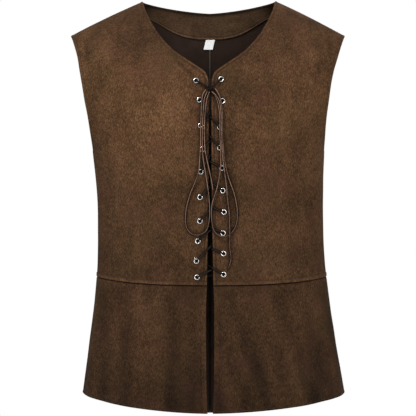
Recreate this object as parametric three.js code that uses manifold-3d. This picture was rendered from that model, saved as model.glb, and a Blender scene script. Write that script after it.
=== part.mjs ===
// A laced suede vest, as it stands when worn. Sizes in millimetres, +Z up, the front faces -Y.
// +X is the wearer's left. The origin lies between the high points of the shoulders.
import * as THREE from "three";
import Module from "manifold-3d";

const wasm = await Module();
wasm.setup();
const { Manifold, Mesh: SolidMesh } = wasm;

// Cloth and seams
const WALL = 2.0; // thickness of the suede with its backing
const SEAM = 0.3; // gap left at a seam and between pieces that touch
const SECTION_POWER = 2.35; // how square a level section of the body is

// Heights
const UNDERARM_Z = -262;
const WAIST_CENTRE_Z = -488.3;
const WAIST_SIDE_Z = -478.5;
const WAIST_BOW = 2.7; // how late the waist seam rises towards the side
const HEM_FRONT_Z = -701;
const HEM_SIDE_Z = -681.5;
const HEM_BACK_Z = -740;
const HEM_BOW = 1.7;

// Shoulder seam, from the neck out
const NECK_X = 114.6;
const SHOULDER_SLOPE = 0.44;
const SHOULDER_BEND = 0.000426;
const CREST_ROW = 0.9985; // last row before the shoulder seam, above which the faces look sideways

// Level sections below the underarm: half width, depth in front, depth behind
const BODY = [
  { z: -745, half: 238.0, front: 130.0, back: 121.0 },
  { z: -700, half: 231.4, front: 128.0, back: 118.0 },
  { z: -650, half: 223.4, front: 125.0, back: 113.5 },
  { z: -590, half: 214.5, front: 120.5, back: 107.5 },
  { z: -530, half: 206.2, front: 115.5, back: 101.0 },
  { z: -483, half: 200.9, front: 112.5, back: 96.5 },
  { z: -455, half: 198.3, front: 112.0, back: 96.0 },
  { z: -410, half: 196.5, front: 113.5, back: 97.5 },
  { z: -360, half: 196.1, front: 116.5, back: 101.0 },
  { z: -312, half: 197.6, front: 120.0, back: 105.0 },
  { z: -262, half: 201.0, front: 122.0, back: 108.0 },
];

// Half width at the armhole's edge, up to the shoulder tip
const ARMHOLE = [
  { z: -262, half: 201.0 },
  { z: -241.7, half: 203.5 },
  { z: -206.6, half: 207.7 },
  { z: -178.6, half: 212.5 },
  { z: -150.6, half: 216.8 },
  { z: -108.6, half: 224.6 },
  { z: -60.4, half: 237.3 },
];
const VIEW_DISTANCE = 2400; // the widths above were read from this far in front

// The vest leans a little and its armholes differ: how far each side stands out past the even form
const SIDE_REACH = 230;
const SIDE_SHIFT = [
  { z: -745, right: -6.9, left: 8.2 },
  { z: -660, right: -5.7, left: 7.3 },
  { z: -590, right: -4.5, left: 5.2 },
  { z: -500, right: -3.3, left: 4.3 },
  { z: -400, right: -1.0, left: 1.9 },
  { z: -336, right: 0.8, left: 0.7 },
  { z: -300, right: 2.7, left: -0.6 },
  { z: -252, right: 4.7, left: -2.2 },
  { z: -210, right: 7.1, left: -3.7 },
  { z: -147, right: 8.2, left: -4.8 },
  { z: -126, right: 8.1, left: -3.9 },
  { z: -100, right: 6.8, left: -1.6 },
  { z: -62, right: 6.1, left: -1.2 },
  { z: 45, right: 6.2, left: -3.0 },
];

// How far forward and back the armhole's edge lies, as a share of the depth at that level
const ARMHOLE_DEPTH = [
  { level: 0, front: 0, back: 0 },
  { level: 0.02, front: 0.17, back: 0.16 },
  { level: 0.06, front: 0.29, back: 0.27 },
  { level: 0.14, front: 0.41, back: 0.38 },
  { level: 0.28, front: 0.54, back: 0.5 },
  { level: 0.5, front: 0.64, back: 0.6 },
  { level: 0.72, front: 0.67, back: 0.64 },
  { level: 0.9, front: 0.64, back: 0.61 },
  { level: 1, front: 0.58, back: 0.58 },
];

// Front edge and neckline of a bodice half, bottom to top
const FRONT_EDGE = [
  { x: 5.3, z: -489 },
  { x: 3.6, z: -395 },
  { x: 2.2, z: -330 },
  { x: 2.0, z: -230 },
  { x: 2.0, z: -165 },
  { x: 2.5, z: -144.5 },
  { x: 3.7, z: -139.5 },
  { x: 7.5, z: -131.1 },
  { x: 15.1, z: -125.1 },
  { x: 28.6, z: -115.6 },
  { x: 44.6, z: -105 },
  { x: 59.9, z: -93.4 },
  { x: 73.7, z: -79 },
  { x: 86.8, z: -61.8 },
  { x: 98.4, z: -41.5 },
  { x: 108.2, z: -20.3 },
  { x: NECK_X, z: 0 },
];

// Half the gap between the front edges of the skirt
const SKIRT_EDGE = [
  { z: -702, x: 4.3 },
  { z: -645, x: 6.2 },
  { z: -537, x: 6.7 },
  { z: -488, x: 5.3 },
];

// Back neckline and the neck facing behind it
const BACK_NECK_DROP = 12.8;
const BACK_NECK_POWER = 1.5;
const FACING_WALL = 1.2;
const FACING_EDGE = [
  { x: 0, level: 0.669 },
  { x: 20, level: 0.684 },
  { x: 40, level: 0.711 },
  { x: 57, level: 0.745 },
  { x: 75, level: 0.796 },
  { x: 90, level: 0.847 },
  { x: 104, level: 0.893 },
  { x: 125, level: 0.95 },
  { x: 137, level: 0.985 },
];
const FACING_TOP = { inset: 1, level: 0.985, drop: 0.004 }; // how far it stops short of the neck edge
const LABEL = { left: -7.2, width: 16.6, top: -57.3, bottom: -76, drift: -4.6, wall: 0.6 };

// Waist seam: the turned edge of the bodice stands out a little
const RIDGE_HEIGHT = 5.6;
const RIDGE_LIFT = 1.0;
const RIDGE_FADE = 1.4;

// Soft folds: a line from one point to another on a face, its depth and half width
const FOLDS = [
  { face: -1, x0: 172, z0: -500, x1: 186, z1: -690, depth: -2.6, width: 13 },
  { face: -1, x0: 140, z0: -560, x1: 150, z1: -700, depth: 1.6, width: 15 },
  { face: -1, x0: -176, z0: -505, x1: -190, z1: -690, depth: -2.4, width: 13 },
  { face: -1, x0: -132, z0: -590, x1: -140, z1: -700, depth: 1.5, width: 16 },
  { face: -1, x0: 214, z0: -82, x1: 170, z1: -170, depth: -1.6, width: 11 },
  { face: -1, x0: -214, z0: -80, x1: -176, z1: -165, depth: -1.8, width: 11 },
  { face: -1, x0: 165, z0: -300, x1: 185, z1: -440, depth: -1.4, width: 14 },
  { face: -1, x0: -160, z0: -310, x1: -182, z1: -450, depth: -1.5, width: 14 },
  { face: 1, x0: 70, z0: -500, x1: 84, z1: -735, depth: 2.2, width: 20 },
  { face: 1, x0: -78, z0: -500, x1: -90, z1: -735, depth: 2.0, width: 20 },
  { face: 1, x0: 150, z0: -520, x1: 168, z1: -710, depth: -2.4, width: 15 },
  { face: 1, x0: -146, z0: -515, x1: -166, z1: -710, depth: -2.6, width: 15 },
  { face: 1, x0: 60, z0: -330, x1: 120, z1: -440, depth: -1.6, width: 15 },
  { face: 1, x0: -64, z0: -340, x1: -118, z1: -436, depth: -1.5, width: 15 },
];
const FOLD_CLEAR = 40; // folds fade to nothing this near to a side seam

// Eyelets: x and z of each pair, top to bottom, wearer's right first
const EYELETS = [
  { right: [-22.7, -146.3], left: [18.8, -143.8] },
  { right: [-17.2, -178.8], left: [21.0, -180.6] },
  { right: [-15.0, -221.5], left: [16.3, -224.3] },
  { right: [-12.0, -260.8], left: [16.2, -258.5] },
  { right: [-15.3, -298.3], left: [19.3, -292.0] },
  { right: [-16.8, -340.8], left: [21.0, -329.8] },
  { right: [-17.2, -380.7], left: [23.0, -365.5] },
  { right: [-20.8, -414.2], left: [21.5, -400.7] },
  { right: [-23.2, -447.5], left: [22.2, -434.9] },
  { right: [-22.3, -474.6], left: [22.3, -470.0] },
];
const EYELET_HOLE_R = 3.3;
const PEG_LENGTH = 16; // longer than the cloth is thick, to cut the holes
const EYELET_SIDES = 10;
const EYELET_PROFILE = [
  { r: 2.65, z: -3.1 },
  { r: 4.6, z: -3.1 },
  { r: 4.6, z: -2.4 },
  { r: 3.0, z: -2.4 },
  { r: 3.0, z: 0.35 },
  { r: 5.3, z: 0.35 },
  { r: 4.2, z: 1.25 },
  { r: 2.65, z: 0.75 },
];

// Lace
const LACE_R = 1.2;
const LACE_SIDES = 8;
// The cord's rings through an eyelet and between the edges: distance before and after, and lift
const THROUGH_EYELET = [
  { before: 1.2, after: 0, lift: -4.9 },
  { before: 0, after: 0, lift: -3.4 },
  { before: 0, after: 0, lift: 1.5 },
  { before: 0, after: 1.3, lift: 3.05 },
];
const THROUGH_GAP = [
  { before: 1.95, after: 0, lift: 1.5 },
  { before: 0.5, after: 0, lift: 0.55 },
  { before: 0, after: 0.5, lift: -2.6 },
  { before: 0, after: 1.95, lift: -3.6 },
];
// Height at which each crossing passes between the edges, row 2 first, and its offset in x
const CROSSINGS = [
  { right: -168.2, left: -164.2, shift: 0 },
  { right: -199.4, left: -207.1, shift: 0 },
  { right: -247.7, left: -239.5, shift: 0 },
  { right: -271.4, left: -281.6, shift: 0 },
  { right: -323.2, left: -315.7, shift: 0 },
  { right: -360.2, left: -356.2, shift: 0.6 },
  { right: -395.2, left: -391.2, shift: 1.2 },
  { right: -421.4, left: -427.0, shift: 2 },
  { right: -462.0, left: -458.0, shift: 2.4 },
];

// Knot of the bow
const KNOT = { x: 0.9, z: -159.6, lift: 6.8, tilt: 0.12, tall: 1.45 };
const KNOT_SIDES = 14;
// Where the lacing ends beside the knot, from its middle
const LACE_END_RIGHT = { x: -6.9, z: 3, lift: -0.4 };
const LACE_END_LEFT = { x: 6.9, z: 3.8, lift: -0.4 };
const KNOT_PROFILE = [
  { r: 0, at: -6.2 },
  { r: 2.2, at: -5.9 },
  { r: 3.3, at: -3.6 },
  { r: 2.9, at: -1.6 },
  { r: 3.5, at: 0 },
  { r: 2.9, at: 1.6 },
  { r: 3.3, at: 3.6 },
  { r: 2.2, at: 5.9 },
  { r: 0, at: 6.2 },
];

// Loops and free ends: x, z and the extra height over what lies below
const LOOP_RIGHT = [
  [-6.7, -163.2, 2.2],
  [-11.2, -170.2, 1.2],
  [-13.6, -186, 0],
  [-14.4, -206, 0],
  [-15.3, -228, 0],
  [-15.7, -256.9, 0],
  [-17.2, -280, 0],
  [-18.6, -298, 0],
  [-25.6, -317.5, 0],
  [-33.6, -337.3, 0],
  [-40.4, -365.5, 0],
  [-39.4, -391, 0],
  [-30.8, -401.6, 0],
  [-19.7, -403.4, 0],
  [-7.2, -396.8, 0],
  [-1.5, -378.1, 0],
  [-1.9, -341, 0],
  [-7, -303.8, 0],
  [-12, -269.5, 0],
  [-12.5, -236, 0],
  [-11.1, -200, 0],
  [-9, -178, 0.6],
  [-5, -166.8, 1.4],
];
const LOOP_LEFT = [
  [8.6, -161.4, 2.2],
  [14.6, -170.8, 1],
  [18.4, -184, 0],
  [20.4, -200, 0],
  [20.7, -218, 0],
  [20.8, -240, 0],
  [21.8, -259, 0],
  [24.4, -282.4, 0],
  [30.4, -307.9, 0],
  [40.5, -337.3, 0],
  [44.9, -367, 0],
  [42.2, -389, 0],
  [32.2, -402.8, 0],
  [18.4, -405.8, 0],
  [7, -397.6, 0],
  [2.5, -376.4, 0],
  [3.3, -352, 0],
  [12, -322.5, 0],
  [17.2, -290, 0],
  [17.4, -262, 0],
  [16.2, -236, 0],
  [15.6, -200, 0],
  [11.2, -179, 0],
  [5.6, -167.2, 0.3],
];
const TAIL_RIGHT = [
  [-1.2, -166.8, 1.8],
  [-4.9, -178, 2.6],
  [-7.9, -200, 2.6],
  [-9.3, -230, 2.2],
  [-8.1, -262, 0.8],
  [-3, -288.7, 0],
  [2, -311.7, 0],
  [4.4, -328, 0],
];
const TAIL_LEFT = [
  [2.9, -166.8, 3],
  [9.6, -173, 3.4],
  [15, -182, 3.1],
  [18, -200, 2.8],
  [18.5, -232, 2.8],
  [19.7, -260, 2.8],
  [22, -286, 2.8],
  [24.4, -303, 1.6],
  [26.8, -322, 0],
  [28.2, -340, 0],
  [31, -363.3, 0],
  [32, -385, 1.2],
  [32, -404, 3.7],
  [32, -423, 1.2],
  [34.1, -445.4, 0],
  [28.8, -462.4, 0],
];
const LOOP_STEPS = 40;
const TAIL_STEPS = { right: 20, left: 26 };

// How high the free cords rest: over the lacing, and over an eyelet
const LACING_REACH = 24;
const EYELET_REACH = 8;
const REST_FADE = 8;
const REST = { overLacing: 0.8, onSuede: 0.7, eyelet: 3.0, laced: 1.5 };

// Colours
const COLOURS = {
  suede: 0x5a4029,
  facing: 0x6b5238,
  label: 0xe9e6df,
  metal: 0xb9babd,
  lace: 0x6b4b32,
};

// Smooth value from a table of rows in rising order of one column
function smooth(rows, by, key, at) {
  const last = rows.length - 2;
  let i = 0;
  while (i < last && at > rows[i + 1][by]) i += 1;
  const slope = (a, b) => (rows[b][key] - rows[a][key]) / (rows[b][by] - rows[a][by]);
  const mid = slope(i, i + 1);
  const meet = (a, b) => (a * b <= 0 ? 0 : (2 * a * b) / (a + b));
  const start = i > 0 ? meet(slope(i - 1, i), mid) : mid;
  const end = i < last ? meet(mid, slope(i + 1, i + 2)) : mid;
  const span = rows[i + 1][by] - rows[i][by];
  const t = (at - rows[i][by]) / span;
  const rest = 1 - t;
  return (
    rest * rest * (1 + 2 * t) * rows[i][key] +
    t * t * (3 - 2 * t) * rows[i + 1][key] +
    t * rest * rest * span * start -
    t * t * rest * span * end
  );
}

const clamp = (v, low, high) => Math.min(Math.max(v, low), high);

function easeIn(v) {
  const t = clamp(v, 0, 1);
  return t * t * (3 - 2 * t);
}

function shoulderHeight(x) {
  const out = x - NECK_X;
  return -SHOULDER_SLOPE * out - SHOULDER_BEND * out * out;
}

const levelHeight = (x, level) => UNDERARM_Z + level * (shoulderHeight(x) - UNDERARM_Z);

const levelAt = (x, z) => (z - UNDERARM_Z) / (shoulderHeight(x) - UNDERARM_Z);

// How the depth closes from the underarm level up to the shoulder seam
const CLOSING = {
  front: { full: 122, power: 2 },
  back: { full: 108, power: 2.6 },
  round: 0.55,
};

const closing = (face) => (face < 0 ? CLOSING.front : CLOSING.back);

// The level at which half of the seam's gap is left
function seamRow(face) {
  const { full, power } = closing(face);
  return Math.pow(1 - Math.pow(SEAM / 2 / full, 1 / CLOSING.round), 1 / power);
}

const EDGE_PASSES = 5; // enough for the armhole's edge to settle on its height

// Half width and depth of the section at a level above the underarm, and the armhole edge's x
function upperSection(face, level) {
  const { full, power } = closing(face);
  const depth = full * Math.pow(Math.max(0, 1 - Math.pow(level, power)), CLOSING.round);
  const share = smooth(ARMHOLE_DEPTH, "level", face < 0 ? "front" : "back", level);
  let edge = ARMHOLE[0].half;
  for (let pass = 0; pass < EDGE_PASSES; pass += 1) {
    edge = smooth(ARMHOLE, "z", "half", levelHeight(edge, level));
  }
  edge *= face < 0 ? 1 - (share * depth) / VIEW_DISTANCE : 1;
  const half = edge / Math.pow(1 - Math.pow(share, SECTION_POWER), 1 / SECTION_POWER);
  return { depth, half, edge };
}

function waistHeight(across) {
  return WAIST_CENTRE_Z + (WAIST_SIDE_Z - WAIST_CENTRE_Z) * Math.pow(across, WAIST_BOW);
}

function hemHeight(face, across) {
  const middle = face < 0 ? HEM_FRONT_Z : HEM_BACK_Z;
  return middle + (HEM_SIDE_Z - middle) * Math.pow(across, HEM_BOW);
}

// A point on the smooth form. The row is 1 at the shoulder, 0 at the underarm, -1 at the waist
// and -2 at the hem. The turn is 0 at the middle and a right angle at the side.
function formPoint(face, row, turn) {
  const across = Math.pow(Math.sin(turn), 2 / SECTION_POWER);
  const along = Math.pow(Math.cos(turn), 2 / SECTION_POWER);
  if (row >= 0) {
    const { depth, half } = upperSection(face, row);
    const x = half * across;
    return new THREE.Vector3(x, face * depth * along, levelHeight(x, row));
  }
  const waist = waistHeight(across);
  const z =
    row >= -1
      ? UNDERARM_Z - row * (waist - UNDERARM_Z)
      : waist - (row + 1) * (hemHeight(face, across) - waist);
  const half = smooth(BODY, "z", "half", z);
  const depth = smooth(BODY, "z", face < 0 ? "front" : "back", z);
  return new THREE.Vector3(half * across, face * depth * along, z);
}

const STEP = 1e-3; // difference in row and turn that the slope of the form is read over
const MARGIN = 1e-4;
const EDGE_TURN = 0.01; // this near to the middle or the side, the form faces straight on

function formNormal(face, row, turn) {
  const high = Math.min(row + STEP, 1);
  const low = Math.max(high - 2 * STEP, -2);
  const far = Math.min(turn + STEP, Math.PI / 2 - MARGIN);
  const near = Math.max(far - 2 * STEP, MARGIN);
  const up = formPoint(face, high, turn).sub(formPoint(face, low, turn));
  const out = formPoint(face, row, far).sub(formPoint(face, row, near));
  const n = face < 0 ? out.cross(up) : up.cross(out);
  if (turn > Math.PI / 2 - EDGE_TURN || row > CREST_ROW + MARGIN) n.y = 0;
  if (turn < EDGE_TURN) n.x = 0;
  return n.normalize();
}

function lean(p) {
  p.x += (smooth(SIDE_SHIFT, "z", p.x < 0 ? "right" : "left", p.z) * p.x) / SIDE_REACH;
  return p;
}

function foldDepth(p) {
  let sum = 0;
  for (const f of FOLDS) {
    if (f.face * p.y <= 0) continue;
    const dx = f.x1 - f.x0;
    const dz = f.z1 - f.z0;
    const t = clamp(((p.x - f.x0) * dx + (p.z - f.z0) * dz) / (dx * dx + dz * dz), 0, 1);
    const off = Math.hypot(p.x - f.x0 - t * dx, p.z - f.z0 - t * dz) / f.width;
    const fade = easeIn(Math.min(t, 1.25 - t) * 4);
    sum += f.depth * fade * Math.exp(-off * off) * easeIn(Math.abs(p.y) / FOLD_CLEAR);
  }
  return sum;
}

// A point of the vest's outer face raised by a lift, on one side (+1 is the wearer's left)
function clothPoint(side, face, row, turn, lift) {
  const p = formPoint(face, row, turn);
  const n = formNormal(face, row, turn);
  p.x *= side;
  n.x *= side;
  const fold = foldDepth(p);
  return lean(p.addScaledVector(n, fold + lift));
}

const NEAR_MIDDLE = 0.5; // nearer to the middle the form counts as flat

// Where the front's outer face lies at a given x and z, with a lift off it
function onFront(x, z, lift) {
  const wide = Math.max(Math.abs(x), NEAR_MIDDLE);
  const side = x < 0 ? -1 : 1;
  const above = z > UNDERARM_Z;
  const row = above ? levelAt(wide, z) : (UNDERARM_Z - z) / (WAIST_CENTRE_Z - UNDERARM_Z);
  const half = above ? upperSection(-1, row).half : smooth(BODY, "z", "half", z);
  const p = clothPoint(side, -1, row, turnOf(wide, half), lift);
  if (Math.abs(x) < wide) p.x = x;
  return p;
}

function normalOnFront(x, z) {
  return onFront(x, z, 1).sub(onFront(x, z, 0)).normalize();
}

// A closed sheet between an outer and an inner net of points
function sheetGeometry(outer, inner) {
  const rows = outer.length;
  const cols = outer[0].length;
  const points = [];
  for (const net of [outer, inner]) {
    for (const line of net) for (const p of line) points.push(p.x, p.y, p.z);
  }
  const at = (k, i, j) => k * rows * cols + i * cols + j;
  const faces = [];
  const quad = (a, b, c, d) => faces.push(a, b, c, a, c, d);
  for (let i = 0; i + 1 < rows; i += 1) {
    for (let j = 0; j + 1 < cols; j += 1) {
      quad(at(0, i, j), at(0, i, j + 1), at(0, i + 1, j + 1), at(0, i + 1, j));
      quad(at(1, i, j), at(1, i + 1, j), at(1, i + 1, j + 1), at(1, i, j + 1));
    }
  }
  for (let j = 0; j + 1 < cols; j += 1) {
    quad(at(0, 0, j), at(1, 0, j), at(1, 0, j + 1), at(0, 0, j + 1));
    quad(at(0, rows - 1, j + 1), at(1, rows - 1, j + 1), at(1, rows - 1, j), at(0, rows - 1, j));
  }
  for (let i = 0; i + 1 < rows; i += 1) {
    quad(at(0, i + 1, 0), at(1, i + 1, 0), at(1, i, 0), at(0, i, 0));
    quad(at(0, i, cols - 1), at(1, i, cols - 1), at(1, i + 1, cols - 1), at(0, i + 1, cols - 1));
  }
  const geometry = new THREE.BufferGeometry();
  geometry.setAttribute("position", new THREE.Float32BufferAttribute(points, 3));
  geometry.setIndex(faces);
  return geometry;
}

function flip(geometry) {
  const index = geometry.index.array;
  for (let i = 0; i < index.length; i += 3) {
    [index[i + 1], index[i + 2]] = [index[i + 2], index[i + 1]];
  }
  return geometry;
}

const toSolid = (geometry) =>
  new Manifold(
    new SolidMesh({
      numProp: 3,
      vertProperties: new Float32Array(geometry.attributes.position.array),
      triVerts: new Uint32Array(geometry.index.array),
    }),
  );

function fromSolid(solid) {
  const mesh = solid.getMesh();
  const geometry = new THREE.BufferGeometry();
  geometry.setAttribute("position", new THREE.Float32BufferAttribute(mesh.vertProperties, 3));
  geometry.setIndex(Array.from(mesh.triVerts));
  return geometry;
}

// Turns at which a row is divided evenly along its length
function evenTurns(face, row, from, to, count) {
  const fine = 80;
  const turns = [];
  const lengths = [0];
  let before = null;
  for (let i = 0; i <= fine; i += 1) {
    const turn = from + ((to - from) * i) / fine;
    const p = formPoint(face, row, turn);
    turns.push(turn);
    if (before) lengths.push(lengths[i - 1] + p.distanceTo(before));
    before = p;
  }
  const out = [];
  let k = 0;
  for (let j = 0; j <= count; j += 1) {
    const want = (lengths[fine] * j) / count;
    while (k < fine - 1 && lengths[k + 1] < want) k += 1;
    const part = (want - lengths[k]) / (lengths[k + 1] - lengths[k]);
    out.push(turns[k] + (turns[k + 1] - turns[k]) * part);
  }
  return out;
}

// A panel from its rows: each row has a turn at its inner and at its outer edge
function panel(side, face, rows, columns) {
  const outer = [];
  const inner = [];
  for (const { row, from, to, ridge } of rows) {
    const turns = evenTurns(face, row, from, to, columns);
    outer.push(turns.map((turn) => clothPoint(side, face, row, turn, ridge)));
    inner.push(turns.map((turn) => clothPoint(side, face, row, turn, -WALL)));
  }
  const geometry = sheetGeometry(outer, inner);
  return side * face < 0 ? geometry : flip(geometry);
}

const turnOf = (x, half) => Math.asin(Math.pow(clamp(x / half, 0, 1), SECTION_POWER / 2));

const turnBeforeSide = (depth) => Math.acos(Math.pow(SEAM / 2 / depth, SECTION_POWER / 2));

const SEARCH_PASSES = 50;

// Where a row above the waist meets the front edge or the neckline
function frontEdgeX(row) {
  const heightOf = (x) => (row >= 0 ? levelHeight(x, row) : UNDERARM_Z - row * (WAIST_CENTRE_Z - UNDERARM_Z));
  let low = 0;
  let high = FRONT_EDGE.length - 1;
  const edgeAt = (s) => {
    const i = clamp(Math.floor(s), 0, FRONT_EDGE.length - 2);
    const t = s - i;
    const a = FRONT_EDGE[i];
    const b = FRONT_EDGE[i + 1];
    return { x: a.x + (b.x - a.x) * t, z: a.z + (b.z - a.z) * t };
  };
  for (let pass = 0; pass < SEARCH_PASSES; pass += 1) {
    const mid = (low + high) / 2;
    const e = edgeAt(mid);
    if (e.z < heightOf(e.x)) low = mid;
    else high = mid;
  }
  return edgeAt((low + high) / 2).x;
}

function backNeckX(row) {
  let low = 0;
  let high = NECK_X;
  for (let pass = 0; pass < SEARCH_PASSES; pass += 1) {
    const mid = (low + high) / 2;
    if (levelHeight(mid, row) > backNeckHeight(mid)) low = mid;
    else high = mid;
  }
  return (low + high) / 2;
}

function backNeckHeight(x) {
  return -BACK_NECK_DROP * (1 - Math.pow(clamp(x / NECK_X, 0, 1), BACK_NECK_POWER));
}

// Rows of a bodice panel above the underarm, closer where the form or the neckline turns quickly
const FRONT_ROWS = [
  0.02, 0.06, 0.13, 0.22, 0.31, 0.384, 0.402, 0.43, 0.455, 0.495, 0.54, 0.6, 0.66, 0.73, 0.8, 0.87,
  0.93, 0.97, 0.99,
];
const BACK_ROWS = [
  0.02, 0.06, 0.13, 0.22, 0.32, 0.42, 0.52, 0.62, 0.73, levelAt(0, -BACK_NECK_DROP), 0.832, 0.86, 0.892,
  0.925, 0.96, 0.988,
];
const LOWER_ROWS = 6;
const COLUMNS = 11;
const REACH = 15; // how far off the form a built face is looked for
const BESIDE_SEAM = 0.0005; // the turn just past the seam down the middle of the back

function bodiceRows(face) {
  const span = UNDERARM_Z - (WAIST_CENTRE_Z + WAIST_SIDE_Z) / 2;
  const rows = [];
  const add = (row, ridge) => {
    const upper = row >= 0 ? upperSection(face, row) : null;
    const z = upper ? 0 : UNDERARM_Z - row * (WAIST_CENTRE_Z - UNDERARM_Z);
    const depth = upper ? upper.depth : smooth(BODY, "z", face < 0 ? "front" : "back", z);
    const half = upper ? upper.half : smooth(BODY, "z", "half", z);
    const middle = face < 0 ? frontEdgeX(row) : Math.max(SEAM / 2, backNeckX(row));
    const to = upper && row > 0 ? turnOf(upper.edge, half) : turnBeforeSide(depth);
    rows.push({ row, from: turnOf(middle, half), to, ridge });
  };
  add(-1 + SEAM / 2 / span, RIDGE_LIFT);
  add(-1 + RIDGE_HEIGHT / span, RIDGE_LIFT);
  add(-1 + (RIDGE_HEIGHT + RIDGE_FADE) / span, 0);
  for (let i = 1; i <= LOWER_ROWS; i += 1) add(-1 + i / LOWER_ROWS, 0);
  for (const row of face < 0 ? FRONT_ROWS : BACK_ROWS) add(row, 0);
  add(CREST_ROW, 0);
  add(seamRow(face), 0);
  return rows;
}

const SKIRT_ROWS = 7;
const HEM_STEP = 0.0001;

function skirtRows(face) {
  const span = WAIST_CENTRE_Z - HEM_FRONT_Z;
  const rows = [];
  for (let i = 0; i <= SKIRT_ROWS; i += 1) {
    const row = -1 - Math.max(SEAM / 2 / span, i / SKIRT_ROWS - (i === SKIRT_ROWS ? HEM_STEP : 0));
    const z = WAIST_CENTRE_Z + (row + 1) * span;
    const depth = smooth(BODY, "z", face < 0 ? "front" : "back", z);
    const half = smooth(BODY, "z", "half", z);
    const middle = face < 0 ? smooth(SKIRT_EDGE, "z", "x", z) : SEAM / 2;
    rows.push({ row, from: turnOf(middle, half), to: turnBeforeSide(depth), ridge: 0 });
  }
  return rows.reverse();
}

function node(name, geometry, colour, metal = 0) {
  const material = new THREE.MeshStandardMaterial({
    color: colour,
    roughness: metal ? 0.3 : 0.95,
    metalness: metal,
  });
  const mesh = new THREE.Mesh(geometry, material);
  mesh.name = name;
  return mesh;
}

// A straight peg through the cloth at an eyelet
function holePeg([x, z]) {
  const base = onFront(x, z, 0);
  const n = normalOnFront(x, z);
  const turn = new THREE.Quaternion().setFromUnitVectors(new THREE.Vector3(0, 0, 1), n);
  const matrix = new THREE.Matrix4().compose(base, turn, new THREE.Vector3(1, 1, 1));
  const peg = Manifold.cylinder(PEG_LENGTH, EYELET_HOLE_R, EYELET_HOLE_R, EYELET_SIDES, true);
  return peg.transform(matrix.elements);
}

function bodicePanel(side, face, columns) {
  const geometry = panel(side, face, bodiceRows(face), columns);
  if (face > 0) return geometry;
  const places = EYELETS.map((pair) => (side < 0 ? pair.right : pair.left));
  return fromSolid(toSolid(geometry).subtract(Manifold.union(places.map(holePeg))));
}

function eyelet(name, [x, z]) {
  const ring = EYELET_PROFILE.map((p) => new THREE.Vector2(p.r, p.z));
  ring.push(ring[0].clone());
  const geometry = new THREE.LatheGeometry(ring, EYELET_SIDES);
  geometry.rotateX(Math.PI / 2);
  const mesh = node(name, geometry, COLOURS.metal, 1);
  mesh.position.copy(onFront(x, z, 0));
  mesh.quaternion.setFromUnitVectors(new THREE.Vector3(0, 0, 1), normalOnFront(x, z));
  return mesh;
}

// A path with one ring of the cord at each of its points
class Route extends THREE.Curve {
  constructor(points) {
    super();
    this.points = points;
  }
  getPoint(t, target = new THREE.Vector3()) {
    const s = clamp(t, 0, 1) * (this.points.length - 1);
    const i = Math.min(Math.floor(s), this.points.length - 2);
    return target.lerpVectors(this.points[i], this.points[i + 1], s - i);
  }
  getPointAt(u, target) {
    return this.getPoint(u, target);
  }
  getTangentAt(u) {
    const step = 0.5 / (this.points.length - 1);
    return this.getPoint(u + step).sub(this.getPoint(u - step)).normalize();
  }
}

function cordGeometry(points) {
  const shape = new THREE.Shape();
  for (let k = 0; k < LACE_SIDES; k += 1) {
    const angle = (2 * Math.PI * (k + 0.5)) / LACE_SIDES;
    const [x, y] = [LACE_R * Math.cos(angle), LACE_R * Math.sin(angle)];
    if (k === 0) shape.moveTo(x, y);
    else shape.lineTo(x, y);
  }
  shape.closePath();
  const steps = points.length - 1;
  return new THREE.ExtrudeGeometry(shape, { steps, extrudePath: new Route(points), curveSegments: 1 });
}

// Rings of the cord where it goes through the cloth, on its way from one place to the next
function goingThrough(rings, [x, z], [fromX, fromZ], [toX, toZ]) {
  const inward = new THREE.Vector2(x - fromX, z - fromZ).normalize();
  const onward = new THREE.Vector2(toX - x, toZ - z).normalize();
  return rings.map(({ before, after, lift }) =>
    onFront(x - inward.x * before + onward.x * after, z - inward.y * before + onward.y * after, lift),
  );
}

// One half of the lacing, from the bottom eyelet on one side up to the bow
function laceHalf(firstSide, bowEnd) {
  const points = [];
  let side = firstSide;
  let from = EYELETS[EYELETS.length - 1][side === "right" ? "left" : "right"];
  for (let k = EYELETS.length - 1; k >= 0; k -= 1) {
    const here = EYELETS[k][side];
    const gap = k > 0 ? [CROSSINGS[k - 1].shift, CROSSINGS[k - 1][side]] : bowEnd;
    points.push(...goingThrough(THROUGH_EYELET, here, from, gap));
    if (k === 0) break;
    const other = side === "right" ? "left" : "right";
    const next = EYELETS[k - 1][other];
    points.push(...goingThrough(THROUGH_GAP, gap, here, next));
    from = gap;
    side = other;
  }
  return points;
}

function laceGeometry() {
  const place = (end) => [KNOT.x + end.x, KNOT.z + end.z];
  const ring = (end) => onFront(...place(end), KNOT.lift + end.lift);
  // Ten rows, so a half that starts on one side ends on the other
  const up = laceHalf("right", place(LACE_END_LEFT));
  const down = laceHalf("left", place(LACE_END_RIGHT)).reverse();
  return cordGeometry([ring(LACE_END_RIGHT), ...down, ...up, ring(LACE_END_LEFT)]);
}

// Height of a cord's middle where it lies over the lacing, or on plain suede
function restingLift(x, z) {
  const laced = 1 - easeIn((Math.abs(x) - LACING_REACH) / REST_FADE);
  let bump = 0;
  for (const pair of EYELETS) {
    for (const [ex, ez] of [pair.right, pair.left]) {
      bump = Math.max(bump, 1 - easeIn((Math.hypot(x - ex, z - ez) - EYELET_REACH) / REST_FADE));
    }
  }
  const touching = LACE_R + SEAM;
  const onLacing = touching + (2 * LACE_R + SEAM) * laced + REST.overLacing;
  return Math.max(onLacing, touching + REST.onSuede + (REST.eyelet + REST.laced * laced) * bump);
}

function freeCord(list, steps) {
  const way = new THREE.CatmullRomCurve3(
    list.map(([x, z, extra]) => new THREE.Vector3(x, extra, z)),
    false,
    "centripetal",
  );
  const points = way.getSpacedPoints(steps).map((p) => onFront(p.x, p.z, restingLift(p.x, p.z) + p.y));
  return cordGeometry(points);
}

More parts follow.
